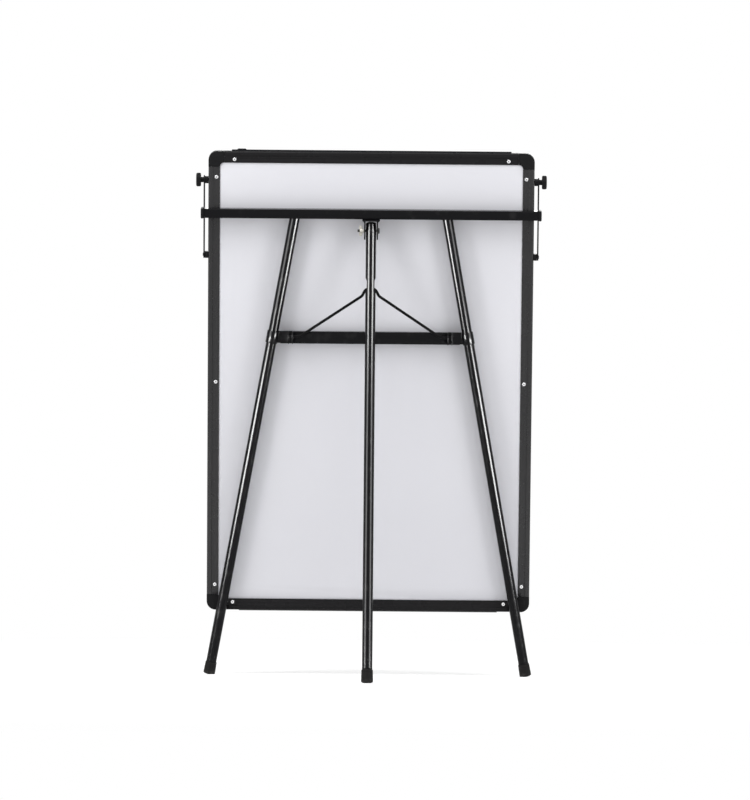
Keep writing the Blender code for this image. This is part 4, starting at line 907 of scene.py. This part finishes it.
def bend_wire(radius, corners, steps=24):
    """Draws a round wire along corners in the X-Z plane, turning at each one by its radius."""
    here = Vector(corners[0][0])
    heading = (Vector(corners[1][0]) - here).normalized()
    bpy.ops.object.select_all(action="DESELECT")
    bpy.ops.mesh.primitive_circle_add(vertices=steps, radius=radius, location=here,
                                      rotation=heading.to_track_quat("Z", "Y").to_euler())
    made = bpy.context.active_object
    settle(made)
    shape_all(made)
    for (corner, bend), after in zip(corners[1:-1], corners[2:]):
        corner = Vector(corner)
        leaving = (Vector(after[0]) - corner).normalized()
        turn = heading.angle(leaving)
        pivot = heading.cross(leaving).normalized()
        bend_start = corner - heading * bend * math.tan(turn / 2)
        bpy.ops.mesh.extrude_region_move(TRANSFORM_OT_translate={"value": bend_start - here})
        bpy.ops.mesh.spin(steps=max(4, round(math.degrees(turn) / 6)), angle=-turn, axis=pivot,
                          center=bend_start + pivot.cross(heading) * bend)
        here = corner + leaving * bend * math.tan(turn / 2)
        heading = leaving
    last_run = Vector(corners[-1][0]) - here
    bpy.ops.mesh.extrude_region_move(TRANSFORM_OT_translate={"value": last_run})
    bpy.ops.mesh.select_all(action="SELECT")
    bpy.ops.mesh.remove_doubles(threshold=0.00001)
    bpy.ops.mesh.fill_holes(sides=0)
    bpy.ops.mesh.normals_make_consistent(inside=False)
    leave_shaping()
    return made


arm_side = [((stay_end_half, 0, 0), 0), ((stay_foot_half, 0, 0), stay_foot_bend),
            ((stay_knee_half, 0, stay_knee_rise), stay_knee_bend)]
stay_corners = arm_side + [((0, 0, stay_peak_rise), stay_top_bend)]
stay_corners += [((-x, y, z), bend) for (x, y, z), bend in reversed(arm_side)]
stay = bend_wire(stay_wire_radius, stay_corners)
soften(stay, 0.0008, angle=60)
settle(stay, Matrix.Translation(Vector(joints["stay_fold"]["pos_m"]))
       @ Matrix.Rotation(-stay_lean, 4, "X"))
dress(stay, "stay_rod", blacked)
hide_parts("stay_wire")
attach(stay, "stay")


# Board panel: a painted steel back sheet with a very fine, even grain, a fibre core, and a
# glossy enamelled writing sheet. The rails hold all three by their edges.
sheet_finish = Finish("painted_back_sheet", (0.66, 0.66, 0.70), 0.5)
fine_grain = sheet_finish.noise(1900, 3)
cloud_share = (sheet_finish.noise(2.2, 3) * 0.5 + fine_grain * 0.5).clamped(0.3, 0.7)
sheet_finish.feed("Base Color", sheet_finish.mix(cloud_share, (0.635, 0.635, 0.675),
                                                 (0.685, 0.685, 0.72)))
sheet_finish.feed("Roughness", fine_grain * 0.15 + 0.42)
sheet_finish.bump(fine_grain, 0.3, 0.00006)

core_finish = Finish("fibre_core", (0.30, 0.22, 0.14), 0.9)
core_finish.feed("Base Color", core_finish.mix(core_finish.noise(400, 5), (0.24, 0.17, 0.11),
                                               (0.38, 0.29, 0.19)))
core_finish.bump(core_finish.noise(900, 4), 0.5, 0.0002)

enamel = Finish("white_enamel", (0.80, 0.805, 0.81), 0.4, shine=0.35)
enamel.feed("Roughness", enamel.noise(7, 4) * 0.12 + 0.34)
enamel.feed("Base Color", enamel.mix(enamel.noise(4, 4).clamped(0.45, 0.75), (0.80, 0.805, 0.81),
                                     (0.775, 0.78, 0.79)))
enamel.bump(enamel.noise(160, 2), 0.10, 0.00005)

for cad_name, name, finish, slot in (
        ("back_sheet", "panel_back_sheet", sheet_finish, "galvanised_back"),
        ("board_core", "panel_core", core_finish, "core_board"),
        ("writing_sheet", "panel_writing_sheet", enamel, "white_enamel")):
    layer = blank_of(cad_name)
    soften(layer, 0.00008, angle=40, segments=1)
    dress(layer, name, finish)
    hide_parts(cad_name)
    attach(layer, "board")


# Rails: extruded aluminium, finished satin charcoal, with the fine lines of the die along
# them. Each has a rounded outer bead and a flat inner flange, which show as two bands.
level_lines = (1.2, 420, 420)
upright_lines = (420, 420, 1.2)
for direction, names, line_run, shine in (
        ("level", ("top", "bottom"), level_lines, 0.10),
        ("upright", ("left", "right"), upright_lines, 0.42)):
    anodised = Finish(f"charcoal_rail_{direction}", (0.0085, 0.0082, 0.0090), 0.3, shine=shine)
    die_lines = anodised.noise(1.6, 4, anodised.stretched(line_run))
    anodised.feed("Base Color", anodised.mix(die_lines.clamped(0.3, 0.7),
                                             (0.0070, 0.0067, 0.0073), (0.0135, 0.0130, 0.0140)))
    anodised.feed("Roughness", anodised.noise(30, 4) * 0.12 + 0.22)
    anodised.bump(die_lines, 0.18, 0.00005)
    for name in names:
        rail = blank_of(f"frame_rail_{name}")
        soften(rail, 0.0005, angle=12)
        dress(rail, f"rail_{name}", anodised)
        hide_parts(f"frame_rail_{name}")
        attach(rail, "board")


# Corner pieces: moulded plastic elbows, rounded outside and hollow inside. Each is pushed over
# a corner of the panel, and closes the cut ends of the two rails that meet there.
for level in ("top", "bottom"):
    for side in ("left", "right"):
        elbow = blank_of(f"corner_{level}_{side}")
        soften(elbow, 0.0014, angle=12, segments=4)
        dress(elbow, f"elbow_{level}_{side}", moulded)
        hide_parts(f"corner_{level}_{side}")
        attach(elbow, "board")


# Blind rivets: bright steel, set from the back of the board through the rails. Each has a
# shallow round head, with the dark stub of its broken mandrel in the hole in the middle.
board_rise = 0.137
board_height = 1.000
rivet_radius = 0.004
rivet_height = 0.0013
rivet_dome = 0.85 * rivet_height
rivet_hole_depth = 1.3 * rivet_height
rivet_hole_radius = 0.0012
rivet_shank_radius = 0.002
rivet_length = 0.008
rivet_sunk = 0.0001
rivet_seat = -0.0007
mandrel_gap = 0.0001
mandrel_low = -0.0003
mandrel_high = 0.55 * rivet_height
level_run = 0.294
upright_run = 0.3325
near_corner = 0.0175
far_corner = 0.056

rivet_finish = Finish("bright_rivet", (0.74, 0.74, 0.75), 0.2, metallic=1.0)
rivet_finish.feed("Roughness", rivet_finish.noise(700, 3) * 0.2 + 0.14)
rivet_finish.feed("Base Color", rivet_finish.mix(rivet_finish.noise(500, 2), (0.68, 0.68, 0.69),
                                                 (0.80, 0.80, 0.81)))
rivet_finish.bump(rivet_finish.noise(1800, 2), 0.2, 0.00005)

mandrel_finish = Finish("mandrel_stub", (0.03, 0.03, 0.032), 0.5, metallic=0.6)
mandrel_finish.feed("Roughness", mandrel_finish.noise(900, 3) * 0.3 + 0.35)
mandrel_finish.bump(mandrel_finish.noise(2500, 2), 0.4, 0.0001)

rivet_pattern = add_round(rivet_radius, 0, rivet_height, steps=40)
shape_faces(rivet_pattern, faces_up)
bpy.ops.mesh.bevel(offset=rivet_dome, segments=5)
leave_shaping()
shape_faces(rivet_pattern, faces_flat_up)
bpy.ops.mesh.inset(thickness=rivet_radius - rivet_dome - rivet_hole_radius)
bpy.ops.mesh.extrude_region_move(TRANSFORM_OT_translate={"value": (0, 0, -rivet_hole_depth)})
leave_shaping()
join_on(rivet_pattern, add_round(rivet_shank_radius, -rivet_length, rivet_sunk, steps=32))
smooth(rivet_pattern)
mandrel_pattern = add_round(rivet_hole_radius - mandrel_gap, mandrel_low, mandrel_high,
                            steps=24)
soften(mandrel_pattern, 0.0002, angle=40, segments=2)

rivet_places = {}
for side, sign in (("left", -1), ("right", 1)):
    for level, near, far in (("bottom", near_corner, far_corner),
                             ("top", board_height - near_corner, board_height - far_corner)):
        rivet_places[f"rivet_{level}_{side}_level"] = (sign * level_run, near)
        rivet_places[f"rivet_{level}_{side}_upright"] = (sign * upright_run, far)
    rivet_places[f"rivet_middle_{side}"] = (sign * upright_run, board_height / 2)
for name, (across, up) in rivet_places.items():
    seat = (stand_plane @ Matrix.Translation((across, rivet_seat, board_rise + up))
            @ Matrix.Rotation(-math.pi / 2, 4, "X"))
    rivet = copy_of(rivet_pattern)
    settle(rivet, seat)
    dress(rivet, f"blind_{name}", rivet_finish)
    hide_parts(name)
    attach(rivet, "board")
    mandrel = copy_of(mandrel_pattern)
    settle(mandrel, seat)
    dress(mandrel, f"mandrel_of_{name}", mandrel_finish)
    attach(mandrel, "board")
bpy.data.objects.remove(rivet_pattern, do_unlink=True)
bpy.data.objects.remove(mandrel_pattern, do_unlink=True)


# Paper clamp: an extruded strip hooked into the top rail, and a moulded jaw on a long pin,
# pressed shut by a small torsion spring that winds up as the jaw opens. Only the finger tab
# shows from behind.
clamp_pin_radius = 0.002
clamp_pin_half = 0.3003
clamp_pin_head = 0.0032
clamp_pin_head_height = 0.0012
clamp_pin_setback = -0.027
clamp_pin_up = board_rise + board_height - 0.020

strip_finish = Finish("charcoal_strip", (0.0155, 0.0155, 0.017), 0.5, shine=0.0)
strip_lines = strip_finish.noise(1.6, 4, strip_finish.stretched(level_lines))
strip_finish.feed("Base Color", strip_finish.mix(strip_lines.clamped(0.3, 0.7),
                                                 (0.0135, 0.0135, 0.0150),
                                                 (0.0185, 0.0185, 0.0205)))
strip_finish.feed("Roughness", strip_finish.noise(30, 4) * 0.14 + 0.43)
strip_finish.bump(strip_lines, 0.18, 0.00005)

clamp_strip = blank_of("clamp_base")
soften(clamp_strip, 0.0003, angle=25, segments=2)
dress(clamp_strip, "clamp_strip", strip_finish)
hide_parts("clamp_base")
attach(clamp_strip, "board")

jaw = blank_of("clamp_jaw")
soften(jaw, 0.0004, angle=20, segments=2)
dress(jaw, "paper_clamp_jaw", moulded)
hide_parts("clamp_jaw")
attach(jaw, "clamp_jaw")

clamp_pin = add_round(clamp_pin_radius, -clamp_pin_half, clamp_pin_half, steps=32)
for low in (-clamp_pin_half - clamp_pin_head_height, clamp_pin_half):
    join_on(clamp_pin, add_round(clamp_pin_head, low, low + clamp_pin_head_height, steps=32))
soften(clamp_pin, 0.0003, angle=40)
settle(clamp_pin, stand_plane @ Matrix.Translation((0, clamp_pin_setback, clamp_pin_up))
       @ Matrix.Rotation(math.pi / 2, 4, "Y"))
dress(clamp_pin, "clamp_hinge_pin", zinc)
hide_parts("clamp_pin")
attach(clamp_pin, "board")

spring = blank_of("clamp_spring")
smooth(spring, angle=60)
dress(spring, "clamp_torsion_spring", zinc)
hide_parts("clamp_spring")
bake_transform(spring)


# Pad hooks: moulded buttons that slide along the strip's slots. Each has a flange behind the
# strip, a neck in the slot, a flange in front, and a peg with a head for the pad.
hook_across = 0.140
hook_up = board_rise + 0.943
strip_back = -0.0183
strip_plate = 0.002
hook_gap = 0.0003
hook_sunk = 0.0005
hook_flange_radius = 0.0055
hook_flange = 0.002
hook_collar = 0.0015
hook_neck_radius = 0.0022
hook_peg_radius = 0.0025
hook_peg_length = 0.010
hook_head_radius = 0.0036
hook_head_length = 0.003

collar_start = strip_plate + hook_gap
peg_start = collar_start + hook_collar
peg_end = peg_start + hook_peg_length
hook_pattern = add_round(hook_flange_radius, -hook_gap - hook_flange, -hook_gap)
for radius, low, high in ((hook_neck_radius, -hook_gap - hook_sunk, collar_start + hook_sunk),
                          (hook_flange_radius, collar_start, peg_start),
                          (hook_peg_radius, peg_start - hook_sunk, peg_end + hook_sunk),
                          (hook_head_radius, peg_end, peg_end + hook_head_length)):
    join_on(hook_pattern, add_round(radius, low, high))
soften(hook_pattern, 0.0004, angle=40)
for side, sign in (("left", -1), ("right", 1)):
    hook = copy_of(hook_pattern)
    settle(hook, stand_plane @ Matrix.Translation((sign * hook_across, strip_back, hook_up))
           @ Matrix.Rotation(math.pi / 2, 4, "X"))
    dress(hook, f"pad_hook_button_{side}", moulded)
    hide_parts(f"pad_hook_{side}")
    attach(hook, f"pad_hook_{side}")
bpy.data.objects.remove(hook_pattern, do_unlink=True)


# Pen tray: a long aluminium extrusion, finished satin charcoal like the rails, but a little
# paler. It hangs by its tongue from the slot of the bottom rail, in front of the board.
tray_finish = Finish("charcoal_tray", (0.0155, 0.0155, 0.017), 0.36, shine=0.3)
tray_lines = tray_finish.noise(1.6, 4, tray_finish.stretched(level_lines))
tray_finish.feed("Base Color", tray_finish.mix(tray_lines.clamped(0.3, 0.7),
                                               (0.0135, 0.0135, 0.0150),
                                               (0.0185, 0.0185, 0.0205)))
tray_finish.feed("Roughness", tray_finish.noise(30, 4) * 0.14 + 0.28)
tray_finish.bump(tray_lines, 0.18, 0.00005)

tray = blank_of("pen_tray")
soften(tray, 0.0003, angle=25, segments=2)
dress(tray, "pen_ledge", tray_finish)
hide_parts("pen_tray")
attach(tray, "board")
